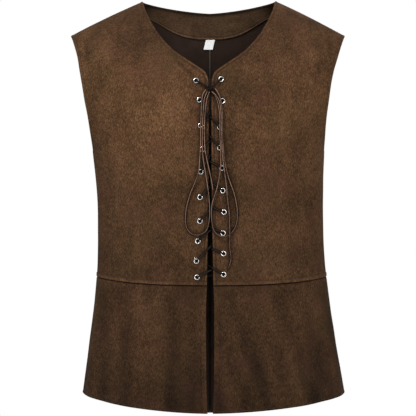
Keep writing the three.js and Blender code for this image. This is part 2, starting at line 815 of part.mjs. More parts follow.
function knot() {
  const profile = KNOT_PROFILE.map((p) => new THREE.Vector2(p.r, p.at));
  const geometry = new THREE.LatheGeometry(profile, KNOT_SIDES).scale(1, 1, KNOT.tall);
  const mesh = node("knot", geometry, COLOURS.lace);
  mesh.position.copy(onFront(KNOT.x, KNOT.z, KNOT.lift));
  mesh.rotation.set(0, KNOT.tilt, Math.PI / 2);
  return mesh;
}

// A point off the inner face of the back, found on the flat faces the panels are built of
function insideBack(panels, level, x, lift) {
  const side = x < 0 ? -1 : 1;
  const turn = Math.max(turnOf(Math.abs(x), upperSection(1, level).half), BESIDE_SEAM);
  const smoothFace = clothPoint(side, 1, level, turn, -WALL);
  const n = clothPoint(side, 1, level, turn, 1 - WALL).sub(smoothFace).normalize();
  const ray = new THREE.Raycaster(smoothFace.clone().addScaledVector(n, -REACH), n, 0, 2 * REACH);
  const hit = ray.intersectObjects(panels)[0];
  return (hit ? hit.point : smoothFace).clone().addScaledVector(n, -lift);
}

// The neck facing lies inside the back, just off its inner face
function facingGeometry(panels) {
  const columns = 26;
  const rows = 4;
  const nets = [[], []];
  for (let i = 0; i <= rows; i += 1) {
    const lines = [[], []];
    for (let j = 0; j <= columns; j += 1) {
      const s = (2 * j) / columns - 1;
      const side = s < 0 ? -1 : 1;
      const share = Math.abs(s);
      const topX = share * (NECK_X - FACING_TOP.inset);
      const lowX = share * FACING_EDGE[FACING_EDGE.length - 1].x;
      const topLevel = Math.min(levelAt(topX, backNeckHeight(topX)), FACING_TOP.level) - FACING_TOP.drop;
      const lowLevel = smooth(FACING_EDGE, "x", "level", lowX);
      const t = i / rows;
      const level = lowLevel + (topLevel - lowLevel) * t;
      const x = lowX + (topX - lowX) * t;
      lines[0].push(insideBack(panels, level, side * x, SEAM + FACING_WALL));
      lines[1].push(insideBack(panels, level, side * x, SEAM));
    }
    nets[0].push(lines[0]);
    nets[1].push(lines[1]);
  }
  return sheetGeometry(nets[0], nets[1]);
}

function labelGeometry(panels) {
  const columns = 4;
  const rows = 4;
  const nets = [[], []];
  for (let i = 0; i <= rows; i += 1) {
    const lines = [[], []];
    for (let j = 0; j <= columns; j += 1) {
      const z = LABEL.bottom + ((LABEL.top - LABEL.bottom) * i) / rows;
      const x = LABEL.left + (LABEL.width * j) / columns + LABEL.drift * (1 - i / rows);
      const level = levelAt(Math.abs(x), z);
      lines[0].push(insideBack(panels, level, x, SEAM + LABEL.wall));
      lines[1].push(insideBack(panels, level, x, SEAM));
    }
    nets[0].push(lines[0]);
    nets[1].push(lines[1]);
  }
  return sheetGeometry(nets[0], nets[1]);
}

function build() {
  const group = new THREE.Group();
  group.name = "suede_vest";
  for (const [word, side] of [["right", -1], ["left", 1]]) {
    group.add(node(`front_${word}`, bodicePanel(side, -1, COLUMNS), COLOURS.suede));
    group.add(node(`back_${word}`, bodicePanel(side, 1, COLUMNS), COLOURS.suede));
    group.add(node(`skirt_front_${word}`, panel(side, -1, skirtRows(-1), COLUMNS + 1), COLOURS.suede));
    group.add(node(`skirt_back_${word}`, panel(side, 1, skirtRows(1), COLUMNS + 1), COLOURS.suede));
    EYELETS.forEach((pair, k) => {
      const number = String(k + 1).padStart(2, "0");
      group.add(eyelet(`eyelet_${word}_${number}`, side < 0 ? pair.right : pair.left));
    });
  }
  const backs = [group.getObjectByName("back_left"), group.getObjectByName("back_right")];
  group.add(node("neck_facing", facingGeometry(backs), COLOURS.facing));
  group.add(node("label", labelGeometry(backs), COLOURS.label));
  group.add(node("lace", laceGeometry(), COLOURS.lace));
  group.add(knot());
  group.add(node("loop_right", freeCord(LOOP_RIGHT, LOOP_STEPS), COLOURS.lace));
  group.add(node("loop_left", freeCord(LOOP_LEFT, LOOP_STEPS), COLOURS.lace));
  group.add(node("tail_right", freeCord(TAIL_RIGHT, TAIL_STEPS.right), COLOURS.lace));
  group.add(node("tail_left", freeCord(TAIL_LEFT, TAIL_STEPS.left), COLOURS.lace));
  return group;
}

export default build();
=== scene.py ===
import math

import bpy
import numpy as np
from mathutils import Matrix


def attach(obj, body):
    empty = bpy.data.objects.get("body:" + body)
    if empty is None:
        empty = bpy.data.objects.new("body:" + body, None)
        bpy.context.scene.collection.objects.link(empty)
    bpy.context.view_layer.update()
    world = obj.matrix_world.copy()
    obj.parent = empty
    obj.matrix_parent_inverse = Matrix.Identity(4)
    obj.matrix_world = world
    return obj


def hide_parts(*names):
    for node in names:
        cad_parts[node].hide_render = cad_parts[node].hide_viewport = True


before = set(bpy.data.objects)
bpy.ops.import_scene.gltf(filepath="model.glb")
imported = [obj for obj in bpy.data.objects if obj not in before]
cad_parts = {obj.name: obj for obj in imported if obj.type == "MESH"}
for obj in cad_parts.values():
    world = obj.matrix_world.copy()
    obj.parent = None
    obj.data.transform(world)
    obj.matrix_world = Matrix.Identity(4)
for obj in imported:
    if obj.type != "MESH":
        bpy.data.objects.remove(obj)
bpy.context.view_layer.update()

MM = 0.001

# Sizes shared with the part's source, in millimetres
WALL = 2.0
SEAM = 0.02
POWER = 2.35
BOTTOM_Z = -745.0
UNDERARM_Z = -262.0
WAIST_CENTRE_Z = -488.3
WAIST_SIDE_Z = -478.5
HEM_FRONT_Z = -701.0
HEM_SIDE_Z = -681.5
HEM_BACK_Z = -740.0
WAIST_BOW = 2.7
HEM_BOW = 1.7
NECK_X = 114.6
SHOULDER_SLOPE = 0.44
SHOULDER_BEND = 0.000426
VIEW_DISTANCE = 2400.0
BACK_NECK_DROP = 12.8
BACK_NECK_POWER = 1.5
LACE_R = 1.2
CLOSING = {-1: (122.0, 2.0), 1: (108.0, 2.6)}
CLOSING_ROUND = 0.55
# How near the plane of the side seams folds and creases fade out
FOLD_CLEAR = 40.0
CREASE_CLEAR = 12.0
# Lengths down the panels: underarm to waist, waist to hem, and the neck facing's height and half width
BODICE_SIDE = 221.0
SKIRT_DROP = 216.0
FACING_HEIGHT = 43.0
FACING_HALF = 137.0

FACE_WORD = {-1: "front", 1: "back"}

# Level sections: height, half width, depth in front, depth behind
BODY = np.array([
    (-745, 238.0, 130.0, 121.0),
    (-700, 231.4, 128.0, 118.0),
    (-650, 223.4, 125.0, 113.5),
    (-590, 214.5, 120.5, 107.5),
    (-530, 206.2, 115.5, 101.0),
    (-483, 200.9, 112.5, 96.5),
    (-455, 198.3, 112.0, 96.0),
    (-410, 196.5, 113.5, 97.5),
    (-360, 196.1, 116.5, 101.0),
    (-312, 197.6, 120.0, 105.0),
    (-262, 201.0, 122.0, 108.0),
])
# Armhole edge: height, half width
ARMHOLE = np.array([
    (-262, 201.0),
    (-241.7, 203.5),
    (-206.6, 207.7),
    (-178.6, 212.5),
    (-150.6, 216.8),
    (-108.6, 224.6),
    (-60.4, 237.3),
])
# Armhole edge: level, share of the depth in front, and behind
ARMHOLE_DEPTH = np.array([
    (0, 0, 0),
    (0.02, 0.17, 0.16),
    (0.06, 0.29, 0.27),
    (0.14, 0.41, 0.38),
    (0.28, 0.54, 0.5),
    (0.5, 0.64, 0.6),
    (0.72, 0.67, 0.64),
    (0.9, 0.64, 0.61),
    (1, 0.58, 0.58),
])
# How far each side stands out past the even form: height, wearer's right, wearer's left
SIDE_REACH = 230.0
SIDE_SHIFT = np.array([
    (-745, -6.9, 8.2),
    (-660, -5.7, 7.3),
    (-590, -4.5, 5.2),
    (-500, -3.3, 4.3),
    (-400, -1.0, 1.9),
    (-336, 0.8, 0.7),
    (-300, 2.7, -0.6),
    (-252, 4.7, -2.2),
    (-210, 7.1, -3.7),
    (-147, 8.2, -4.8),
    (-126, 8.1, -3.9),
    (-100, 6.8, -1.6),
    (-62, 6.1, -1.2),
    (45, 6.2, -3.0),
])
# Front edge and neckline: x, z from the waist up
FRONT_EDGE = np.array([
    (5.3, -489),
    (3.6, -395),
    (2.2, -330),
    (2.0, -230),
    (2.0, -165),
    (2.5, -144.5),
    (3.7, -139.5),
    (7.5, -131.1),
    (15.1, -125.1),
    (28.6, -115.6),
    (44.6, -105),
    (59.9, -93.4),
    (73.7, -79),
    (86.8, -61.8),
    (98.4, -41.5),
    (108.2, -20.3),
    (NECK_X, 0),
])
SKIRT_EDGE = np.array([(-702, 4.3), (-645, 6.2), (-537, 6.7), (-488, 5.3)])
# Neck facing's lower edge: x, level
FACING_EDGE = np.array([
    (0, 0.669),
    (20, 0.684),
    (40, 0.711),
    (57, 0.745),
    (75, 0.796),
    (90, 0.847),
    (104, 0.893),
    (125, 0.95),
    (137, 0.985),
])
LABEL = {"left": -7.2, "width": 16.6, "top": -57.3, "bottom": -74.5, "drift": -4.2}

# Large folds of the solids: face, x0, z0, x1, z1, depth, half width
FOLDS = [
    (-1, 172, -500, 186, -690, -2.6, 13),
    (-1, 140, -560, 150, -700, 1.6, 15),
    (-1, -176, -505, -190, -690, -2.4, 13),
    (-1, -132, -590, -140, -700, 1.5, 16),
    (-1, 214, -82, 170, -170, -1.6, 11),
    (-1, -214, -80, -176, -165, -1.8, 11),
    (-1, 165, -300, 185, -440, -1.4, 14),
    (-1, -160, -310, -182, -450, -1.5, 14),
    (1, 70, -500, 84, -735, 2.2, 20),
    (1, -78, -500, -90, -735, 2.0, 20),
    (1, 150, -520, 168, -710, -2.4, 15),
    (1, -146, -515, -166, -710, -2.6, 15),
    (1, 60, -330, 120, -440, -1.6, 15),
    (1, -64, -340, -118, -436, -1.5, 15),
]
# Finer creases, placed the same way
CREASES = [
    (-1, -222, -62, -216, -98, 1.4, 3.2),
    (-1, -214, -66, -206, -112, -1.6, 4.0),
    (-1, 213, -60, 221, -88, 1.4, 3.2),
    (-1, 206, -64, 210, -104, -1.5, 4.0),
    (-1, -58, -110, -29, -138, -1.9, 2.6),
    (-1, -62, -116, -34, -143, 1.0, 3.0),
    (-1, 44, -118, 30, -140, -0.5, 3.0),
    (-1, -150, -180, -90, -250, 0.8, 14),
    (-1, 150, -175, 96, -246, 0.7, 15),
    (-1, -120, -400, -170, -470, -0.9, 7),
    (-1, 126, -405, 176, -466, -0.8, 7),
    (-1, -60, -492, -66, -560, -0.6, 7),
    (-1, 66, -492, 74, -580, -0.6, 8),
    (-1, -104, -495, -112, -640, 0.8, 9),
    (-1, 98, -500, 108, -650, 0.8, 9),
    (-1, -205, -560, -214, -688, 0.9, 5),
    (-1, 206, -540, 216, -688, 0.9, 5),
    (1, 30, -60, 52, -92, -0.9, 4),
    (1, 90, -70, 130, -150, 0.9, 13),
    (1, -92, -74, -134, -156, 0.9, 13),
    (1, 40, -420, 150, -462, -1.0, 7),
    (1, -36, -410, -148, -458, -1.1, 7),
    (1, 24, -380, 110, -400, 0.7, 9),
    (1, -30, -372, -116, -396, 0.7, 9),
    (1, 40, -500, 46, -650, -0.8, 9),
    (1, -46, -500, -50, -660, -0.8, 9),
    (1, 116, -500, 126, -700, -0.9, 10),
    (1, -112, -500, -122, -700, -1.0, 10),
]

# Eyelets, top to bottom: x and z on the wearer's right, then on the left
EYELETS = [
    {"right": (right_x, right_z), "left": (left_x, left_z)} for right_x, right_z, left_x, left_z in (
        (-22.7, -146.3, 18.8, -143.8),
        (-17.2, -178.8, 21.0, -180.6),
        (-15.0, -221.5, 16.3, -224.3),
        (-12.0, -260.8, 16.2, -258.5),
        (-15.3, -298.3, 19.3, -292.0),
        (-16.8, -340.8, 21.0, -329.8),
        (-17.2, -380.7, 23.0, -365.5),
        (-20.8, -414.2, 21.5, -400.7),
        (-23.2, -447.5, 22.2, -434.9),
        (-22.3, -474.6, 22.3, -470.0),
    )
]
# Where the lace goes down through the opening: z of the run up from the right and from the left, and x
CROSSINGS = [
    {"right": right, "left": left, "shift": shift} for right, left, shift in (
        (-168.2, -164.2, 0), (-199.4, -207.1, 0), (-247.7, -239.5, 0), (-271.4, -281.6, 0),
        (-323.2, -315.7, 0), (-360.2, -356.2, 0.6), (-395.2, -391.2, 1.2), (-421.4, -427.0, 2),
        (-462.0, -458.0, 2.4),
    )
]
KNOT = {"x": 0.9, "z": -159.6, "lift": 6.8}

# Free cords: x, z and the extra height over what lies below
LOOP_RIGHT = [
    (-6.7, -163.2, 2.2), (-11.2, -170.2, 1.2), (-13.6, -186, 0), (-14.4, -206, 0),
    (-15.3, -228, 0), (-15.7, -256.9, 0), (-17.2, -280, 0), (-18.6, -298, 0), (-25.6, -317.5, 0),
    (-33.6, -337.3, 0), (-40.4, -365.5, 0), (-39.4, -391, 0), (-30.8, -401.6, 0),
    (-19.7, -403.4, 0), (-7.2, -396.8, 0), (-1.5, -378.1, 0), (-1.9, -341, 0), (-7, -303.8, 0),
    (-12, -269.5, 0), (-12.5, -236, 0), (-11.1, -200, 0), (-9, -178, 0.6), (-5, -166.8, 1.4),
]
LOOP_LEFT = [
    (8.6, -161.4, 2.2), (14.6, -170.8, 1), (18.4, -184, 0), (20.4, -200, 0), (20.7, -218, 0),
    (20.8, -240, 0), (21.8, -259, 0), (24.4, -282.4, 0), (30.4, -307.9, 0), (40.5, -337.3, 0),
    (44.9, -367, 0), (42.2, -389, 0), (32.2, -402.8, 0), (18.4, -405.8, 0), (7, -397.6, 0),
    (2.5, -376.4, 0), (3.3, -352, 0), (12, -322.5, 0), (17.2, -290, 0), (17.4, -262, 0),
    (16.2, -236, 0), (15.6, -200, 0), (11.2, -179, 0), (5.6, -167.2, 0.3),
]
TAIL_RIGHT = [
    (-1.2, -166.8, 1.8), (-4.9, -178, 2.6), (-7.9, -200, 2.6), (-9.3, -230, 2.2),
    (-8.1, -262, 0.8), (-3, -288.7, 0), (2, -311.7, 0), (4.4, -328, 0),
]
TAIL_LEFT = [
    (2.9, -166.8, 3), (9.6, -173, 3.4), (15, -182, 3.1), (18, -200, 2.8), (18.5, -232, 2.8),
    (19.7, -260, 2.8), (22, -286, 2.8), (24.4, -303, 1.6), (26.8, -322, 0), (28.2, -340, 0),
    (31, -363.3, 0), (32, -385, 1.2), (32, -404, 3.7), (32, -423, 1.2), (34.1, -445.4, 0),
    (28.8, -462.4, 0),
]


# The form, with whole arrays at a time

def smooth(xs, ys, at):
    """A monotone smooth curve through the rows of a table."""
    at = np.asarray(at, float)
    slopes = np.diff(ys) / np.diff(xs)
    product, total = slopes[:-1] * slopes[1:], slopes[:-1] + slopes[1:]
    meet = np.where(product <= 0, 0, 2 * product / np.where(total == 0, 1, total))
    ends = np.concatenate([[slopes[0]], meet, [slopes[-1]]])
    i = np.clip(np.searchsorted(xs, at, side="right") - 1, 0, len(xs) - 2)
    span = xs[i + 1] - xs[i]
    t = (at - xs[i]) / span
    r = 1 - t
    return (r * r * (1 + 2 * t) * ys[i] + t * t * (3 - 2 * t) * ys[i + 1]
            + t * r * r * span * ends[i] - t * t * r * span * ends[i + 1])


def ease(v):
    t = np.clip(v, 0, 1)
    return t * t * (3 - 2 * t)


def bell(v, middle, width):
    return np.exp(-((v - middle) / width) ** 2)


def blend(a, b, share):
    return share * a + (1 - share) * b


def lengths(points):
    """The length along a line up to each of its points."""
    return np.concatenate([[0], np.cumsum(np.linalg.norm(np.diff(points, axis=0), axis=1))])


def shoulder_height(x):
    out = x - NECK_X
    return -SHOULDER_SLOPE * out - SHOULDER_BEND * out * out


def level_height(x, level):
    return UNDERARM_Z + level * (shoulder_height(x) - UNDERARM_Z)


def level_at(x, z):
    return (z - UNDERARM_Z) / (shoulder_height(x) - UNDERARM_Z)


def row_height(row):
    """The height at the centre of a row between the underarm, 0, and the waist, -1."""
    return UNDERARM_Z - row * (WAIST_CENTRE_Z - UNDERARM_Z)


def row_down(z):
    return (UNDERARM_Z - z) / (WAIST_CENTRE_Z - UNDERARM_Z)


def seam_row(face, gap):
    """The row where the upper section has closed to the shoulder seam's gap."""
    full, power = CLOSING[face]
    return (1 - (gap / 2 / full) ** (1 / CLOSING_ROUND)) ** (1 / power)


def upper_section(face, level):
    """The depth, half width and armhole edge of the form above the underarm."""
    full, power = CLOSING[face]
    level = np.asarray(level, float)
    depth = full * np.maximum(0, 1 - np.clip(level, 0, None) ** power) ** CLOSING_ROUND
    share = smooth(ARMHOLE_DEPTH[:, 0], ARMHOLE_DEPTH[:, 1 if face < 0 else 2], level)
    edge = np.full_like(depth, 210.0)
    for _ in range(5):
        edge = smooth(ARMHOLE[:, 0], ARMHOLE[:, 1], level_height(edge, level))
    if face < 0:
        edge = edge * (1 - share * depth / VIEW_DISTANCE)
    half = edge / (1 - share ** POWER) ** (1 / POWER)
    return depth, half, edge


def waist_height(across):
    return WAIST_CENTRE_Z + (WAIST_SIDE_Z - WAIST_CENTRE_Z) * across ** WAIST_BOW


def hem_height(face, across):
    middle = HEM_FRONT_Z if face < 0 else HEM_BACK_Z
    return middle + (HEM_SIDE_Z - middle) * across ** HEM_BOW


def body_half(z):
    return smooth(BODY[:, 0], BODY[:, 1], z)


def body_depth(face, z):
    return smooth(BODY[:, 0], BODY[:, 2 if face < 0 else 3], z)


def form_point(face, row, turn):
    """A point of the even form. Rows run from the hem, -2, over the waist and underarm to the top, 1."""
    row, turn = np.broadcast_arrays(np.asarray(row, float), np.asarray(turn, float))
    across = np.sin(turn) ** (2 / POWER)
    along = np.cos(turn) ** (2 / POWER)
    depth, half, _ = upper_section(face, np.clip(row, 0, 1))
    x = half * across
    high = np.stack([x, face * depth * along, level_height(x, np.clip(row, 0, 1))], -1)
    waist = waist_height(across)
    skirt_z = waist - (row + 1) * (hem_height(face, across) - waist)
    z = np.where(row >= -1, UNDERARM_Z - row * (waist - UNDERARM_Z), skirt_z)
    z = np.clip(z, BOTTOM_Z, UNDERARM_Z)
    low = np.stack([body_half(z) * across, face * body_depth(face, z) * along, z], -1)
    return np.where((row >= 0)[..., None], high, low)


def form_normal(face, row, turn):
    row, turn = np.broadcast_arrays(np.asarray(row, float), np.asarray(turn, float))
    step = 1e-3
    high = np.minimum(row + step, 1)
    low = np.maximum(high - 2 * step, -2)
    far = np.minimum(turn + step, math.pi / 2 - 1e-4)
    near = np.maximum(far - 2 * step, 1e-4)
    up = form_point(face, high, turn) - form_point(face, low, turn)
    out = form_point(face, row, far) - form_point(face, row, near)
    n = np.cross(out, up) if face < 0 else np.cross(up, out)
    n[..., 1] = np.where((turn > math.pi / 2 - 0.01) | (row > 0.9986), 0, n[..., 1])
    n[..., 0] = np.where(turn < 0.01, 0, n[..., 0])
    return n / np.linalg.norm(n, axis=-1, keepdims=True)


def fold_sum(p, folds, clear):
    total = np.zeros(p.shape[:-1])
    for face, x0, z0, x1, z1, depth, width in folds:
        dx, dz = x1 - x0, z1 - z0
        t = np.clip(((p[..., 0] - x0) * dx + (p[..., 2] - z0) * dz) / (dx * dx + dz * dz), 0, 1)
        off = np.hypot(p[..., 0] - x0 - t * dx, p[..., 2] - z0 - t * dz) / width
        fade = ease(np.minimum(t, 1.25 - t) * 4)
        total += depth * fade * np.exp(-off * off) * ease(np.abs(p[..., 1]) / clear) * (face * p[..., 1] > 0)
    return total


WAVES = [
    (11.0, 3.1, 7.3, 0.35, 0.4),
    (-7.7, 9.4, 12.9, 0.30, 2.2),
    (23.9, -6.2, 17.1, 0.17, 1.1),
    (-19.3, 15.8, 29.7, 0.14, 4.0),
    (41.0, 22.0, -37.0, 0.07, 0.7),
    (-35.0, 44.0, 52.0, 0.06, 5.1),
    (83.0, -61.0, 71.0, 0.035, 2.9),
    (-97.0, 54.0, -113.0, 0.03, 1.7),
]


def unevenness(p):
    """Small soft waves that keep the cloth from looking machined."""
    total = np.zeros(p.shape[:-1])
    for kx, ky, kz, size, start in WAVES:
        total += size * np.sin((p[..., 0] * kx + p[..., 1] * ky + p[..., 2] * kz) * MM + start)
    return total


def leaned(p):
    """The form with each side standing out or in as the photograph shows."""
    z = np.clip(p[..., 2], SIDE_SHIFT[0, 0], SIDE_SHIFT[-1, 0])
    right, left = (smooth(SIDE_SHIFT[:, 0], SIDE_SHIFT[:, k], z) for k in (1, 2))
    p = p.copy()
    p[..., 0] += np.where(p[..., 0] < 0, right, left) * p[..., 0] / SIDE_REACH
    return p


def off_form(side, face, row, turn, lift, fine=True):
    """Points at a height off a panel's outer face, with its folds."""
    p = form_point(face, row, turn)
    n = form_normal(face, row, turn)
    p[..., 0] *= side
    n[..., 0] *= side
    rise = fold_sum(p, FOLDS, FOLD_CLEAR)
    if fine:
        rise = rise + fold_sum(p, CREASES, CREASE_CLEAR) + unevenness(p)
    return leaned(p + n * (rise + lift)[..., None])


def turn_of(x, half):
    return np.arcsin(np.clip(x / half, 0, 1) ** (POWER / 2))


def half_width(face, row, z):
    upper = upper_section(face, np.clip(row, 0, 1))[1]
    return np.where(z > UNDERARM_Z, upper, body_half(np.clip(z, BOTTOM_Z, UNDERARM_Z)))


def on_front(x, z, lift, fine=True):
    """Points off the front's outer face at a given x and z."""
    x, z, lift = np.broadcast_arrays(*(np.asarray(v, float) for v in (x, z, lift)))
    wide = np.maximum(np.abs(x), 0.5)
    row = np.where(z > UNDERARM_Z, level_at(wide, z), row_down(z))
    side = np.where(x < 0, -1.0, 1.0)
    out = off_form(side, -1, row, turn_of(wide, half_width(-1, row, z)), lift, fine)
    out[..., 0] = np.where(np.abs(x) < wide, x, out[..., 0])
    return out


def front_normal(x, z):
    n = on_front(x, z, 1.0, False) - on_front(x, z, 0.0, False)
    return n / np.linalg.norm(n, axis=-1, keepdims=True)


# Helpers for meshes and materials

def mesh_object(name, points, faces, materials, tone=None, kinds=None, smooth_shade=True):
    mesh = bpy.data.meshes.new(name)
    places = [tuple(v) for v in np.asarray(points) * MM]
    mesh.from_pydata(places, [], [tuple(int(i) for i in f) for f in faces])
    for m in materials:
        mesh.materials.append(m)
    if kinds is not None:
        mesh.polygons.foreach_set("material_index", np.asarray(kinds, np.int32))
    mesh.polygons.foreach_set("use_smooth", [smooth_shade] * len(mesh.polygons))
    shade = np.ones(len(mesh.vertices), np.float32) if tone is None else np.asarray(tone, np.float32).ravel()
    # The tone attribute multiplies the colour: it carries painted light and painted shade as well as the
    # cloth's own tone
    mesh.attributes.new("tone", "FLOAT", "POINT").data.foreach_set("value", shade)
    mesh.update()
    obj = bpy.data.objects.new(name, mesh)
    bpy.context.scene.collection.objects.link(obj)
    return obj


def settle(obj, slot, *nodes):
    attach(obj, "root")
    if nodes:
        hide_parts(*nodes)
    return obj


def sheet_faces(rows, cols, flip):
    """Faces of a closed sheet between two nets, and which of them are on the inner net."""
    def quads(*corners):
        return np.stack([k * rows * cols + a * cols + b for k, a, b in corners], -1)

    i, j = (grid.ravel() for grid in np.meshgrid(np.arange(rows - 1), np.arange(cols - 1), indexing="ij"))
    outer = quads((0, i, j), (0, i, j + 1), (0, i + 1, j + 1), (0, i + 1, j))
    inner = quads((1, i, j), (1, i + 1, j), (1, i + 1, j + 1), (1, i, j + 1))
    i, j = np.arange(rows - 1), np.arange(cols - 1)
    end, side = rows - 1, cols - 1
    low = quads((0, 0, j), (1, 0, j), (1, 0, j + 1), (0, 0, j + 1))
    top = quads((0, end, j + 1), (1, end, j + 1), (1, end, j), (0, end, j))
    left = quads((0, i + 1, 0), (1, i + 1, 0), (1, i, 0), (0, i, 0))
    right = quads((0, i, side), (1, i, side), (1, i + 1, side), (0, i + 1, side))
    faces = np.concatenate([outer, low, top, left, right, inner])
    return (faces[:, ::-1] if flip else faces), np.arange(len(faces)) >= len(faces) - len(inner)


def sheet_object(name, outer, inner, flip, materials, tones=None):
    """A closed sheet between two nets of points. A second material goes on the inner net."""
    outer, inner = np.array(outer), np.array(inner)
    faces, inside = sheet_faces(*outer.shape[:2], flip)
    points = np.concatenate([outer.reshape(-1, 3), inner.reshape(-1, 3)])
    return mesh_object(name, points, faces, materials, tones, inside * (len(materials) - 1))


def tube(points, radius, sides=10):
    """A closed tube through points, with a steady frame along it."""
    points = np.asarray(points, float)
    radius = np.broadcast_to(np.asarray(radius, float), (len(points),))
    along = np.gradient(points, axis=0)
    along /= np.linalg.norm(along, axis=1, keepdims=True)
    across = np.cross(along[0], (0.3, 0.9, 0.2))
    angle = 2 * math.pi * np.arange(sides) / sides
    rings = []
    for p, t, r in zip(points, along, radius):
        across = across - t * across.dot(t)
        across /= np.linalg.norm(across)
        rings.append(p + r * (np.outer(np.cos(angle), across) + np.outer(np.sin(angle), np.cross(t, across))))
    faces = []
    for i in range(len(points) - 1):
        for k in range(sides):
            a, b = i * sides + k, i * sides + (k + 1) % sides
            faces.append((a, b, b + sides, a + sides))
    last = (len(points) - 1) * sides
    faces += [tuple(range(sides))[::-1], tuple(range(last, last + sides))]
    return np.concatenate(rings), faces


def joined(parts):
    verts, faces, start = [], [], 0
    for v, f in parts:
        verts.append(np.asarray(v))
        faces += [tuple(i + start for i in face) for face in f]
        start += len(v)
    return np.concatenate(verts), faces


def catmull(points, count):
    """A centripetal curve through points, at even steps."""
    points = np.asarray(points, float)
    ends = np.concatenate([[2 * points[0] - points[1]], points, [2 * points[-1] - points[-2]]])

    def between(t, low, high, a, b):
        return (high - t) / (high - low) * a + (t - low) / (high - low) * b

    fine = []
    for a, b, c, d in zip(ends, ends[1:], ends[2:], ends[3:]):
        knots = [0.0]
        for p, q in ((a, b), (b, c), (c, d)):
            knots.append(knots[-1] + max(np.linalg.norm(q - p), 1e-6) ** 0.5)
        t0, t1, t2, t3 = knots
        t = np.linspace(t1, t2, 24, endpoint=False)[:, None]
        middle = between(t, t1, t2, b, c)
        first = between(t, t0, t2, between(t, t0, t1, a, b), middle)
        second = between(t, t1, t3, middle, between(t, t2, t3, c, d))
        fine.append(between(t, t1, t2, first, second))
    fine = np.concatenate(fine + [points[-1:]])
    length = lengths(fine)
    want = np.linspace(0, length[-1], count + 1)
    return np.stack([np.interp(want, length, column) for column in fine.T], -1)


class Nodes:
    """A short way to build one material's nodes. An input takes a number, a colour or an output."""

    def __init__(self, name):
        self.material = bpy.data.materials.new(name)
        self.material.use_nodes = True
        self.tree = self.material.node_tree
        self.tree.nodes.clear()
        self.shader = self.add("ShaderNodeBsdfPrincipled")
        self.add("ShaderNodeOutputMaterial", {"Surface": self.shader.outputs["BSDF"]})
        here = self.add("ShaderNodeTexCoord").outputs
        self.place, self.normal = here["Object"], here["Normal"]

    def feed(self, socket, value):
        if hasattr(value, "is_linked"):
            self.tree.links.new(value, socket)
        elif socket.type == "RGBA":
            socket.default_value = (*value, 1)
        else:
            socket.default_value = value

    def add(self, kind, inputs=None, **values):
        node = self.tree.nodes.new(kind)
        for key, value in values.items():
            setattr(node, key, value)
        for key, value in (inputs or {}).items():
            self.feed(node.inputs[key], value)
        return node

    def noise(self, scale, detail=3.0, rough=0.55, source=None, distortion=0.0):
        inputs = {"Scale": scale, "Detail": detail, "Roughness": rough, "Distortion": distortion}
        inputs["Vector"] = source or self.place
        return self.add("ShaderNodeTexNoise", inputs).outputs["Fac"]

    def mapped(self, scale=(1, 1, 1), turn=(0, 0, 0), shift=(0, 0, 0)):
        inputs = {"Scale": scale, "Rotation": turn, "Location": shift, "Vector": self.place}
        return self.add("ShaderNodeMapping", inputs).outputs["Vector"]

    def ramp(self, fac, *stops):
        node = self.add("ShaderNodeValToRGB", {"Fac": fac})
        elements = node.color_ramp.elements
        while len(elements) < len(stops):
            elements.new(0.5)
        for element, (place, colour) in zip(elements, stops):
            element.position = place
            element.color = (*colour, 1)
        return node.outputs["Color"]

    def mix(self, a, b, fac, blend_type="MIX"):
        node = self.add("ShaderNodeMix", {6: a, 7: b, 0: fac}, data_type="RGBA", blend_type=blend_type)
        return node.outputs[2]

    def math(self, kind, a, b):
        return self.add("ShaderNodeMath", {0: a, 1: b}, operation=kind).outputs[0]

    def summed(self, *parts):
        """The sum of some outputs, each by its share."""
        total = 0.0
        for value, share in parts:
            total = self.math("ADD", total, self.math("MULTIPLY", value, share))
        return total

    def darkened(self, colour, value):
        """A colour multiplied by a grey."""
        grey = self.add("ShaderNodeCombineColor", {0: value, 1: value, 2: value})
        return self.mix(colour, grey.outputs[0], 1.0, "MULTIPLY")

    def spread(self, value, low, high, to_low=0.0, to_high=1.0):
        inputs = {"Value": value, "From Min": low, "From Max": high, "To Min": to_low, "To Max": to_high}
        return self.add("ShaderNodeMapRange", inputs).outputs["Result"]

    def bump(self, height, strength, distance, under=None):
        inputs = {"Height": height, "Strength": strength, "Distance": distance}
        if under is not None:
            inputs["Normal"] = under
        return self.add("ShaderNodeBump", inputs).outputs["Normal"]

    def part(self, vector, axis):
        return self.add("ShaderNodeSeparateXYZ", {0: vector}).outputs[axis]

    def set(self, **values):
        for key, value in values.items():
            self.feed(self.shader.inputs[key.replace("_", " ")], value)
        return self.material


def rgb(r, g, b):
    """A colour named as in the photograph, in linear light."""
    return tuple((c / 255 / 12.92) if c <= 10 else ((c / 255 + 0.055) / 1.055) ** 2.4 for c in (r, g, b))


def toned(n, colour):
    """Multiplies a colour by the mesh's tone attribute, which carries painted light and painted shade besides
    the cloth's own tone.
    """
    return n.darkened(colour, n.add("ShaderNodeAttribute", attribute_name="tone").outputs["Fac"])


def in_contact(n, colour, reach, darkest):
    """Darkens a colour close beside other pieces, where little light gets in."""
    near = n.add("ShaderNodeAmbientOcclusion", {"Distance": reach}, samples=8)
    return n.darkened(colour, n.spread(near.outputs["AO"], 0.5, 0.97, darkest, 1.0))


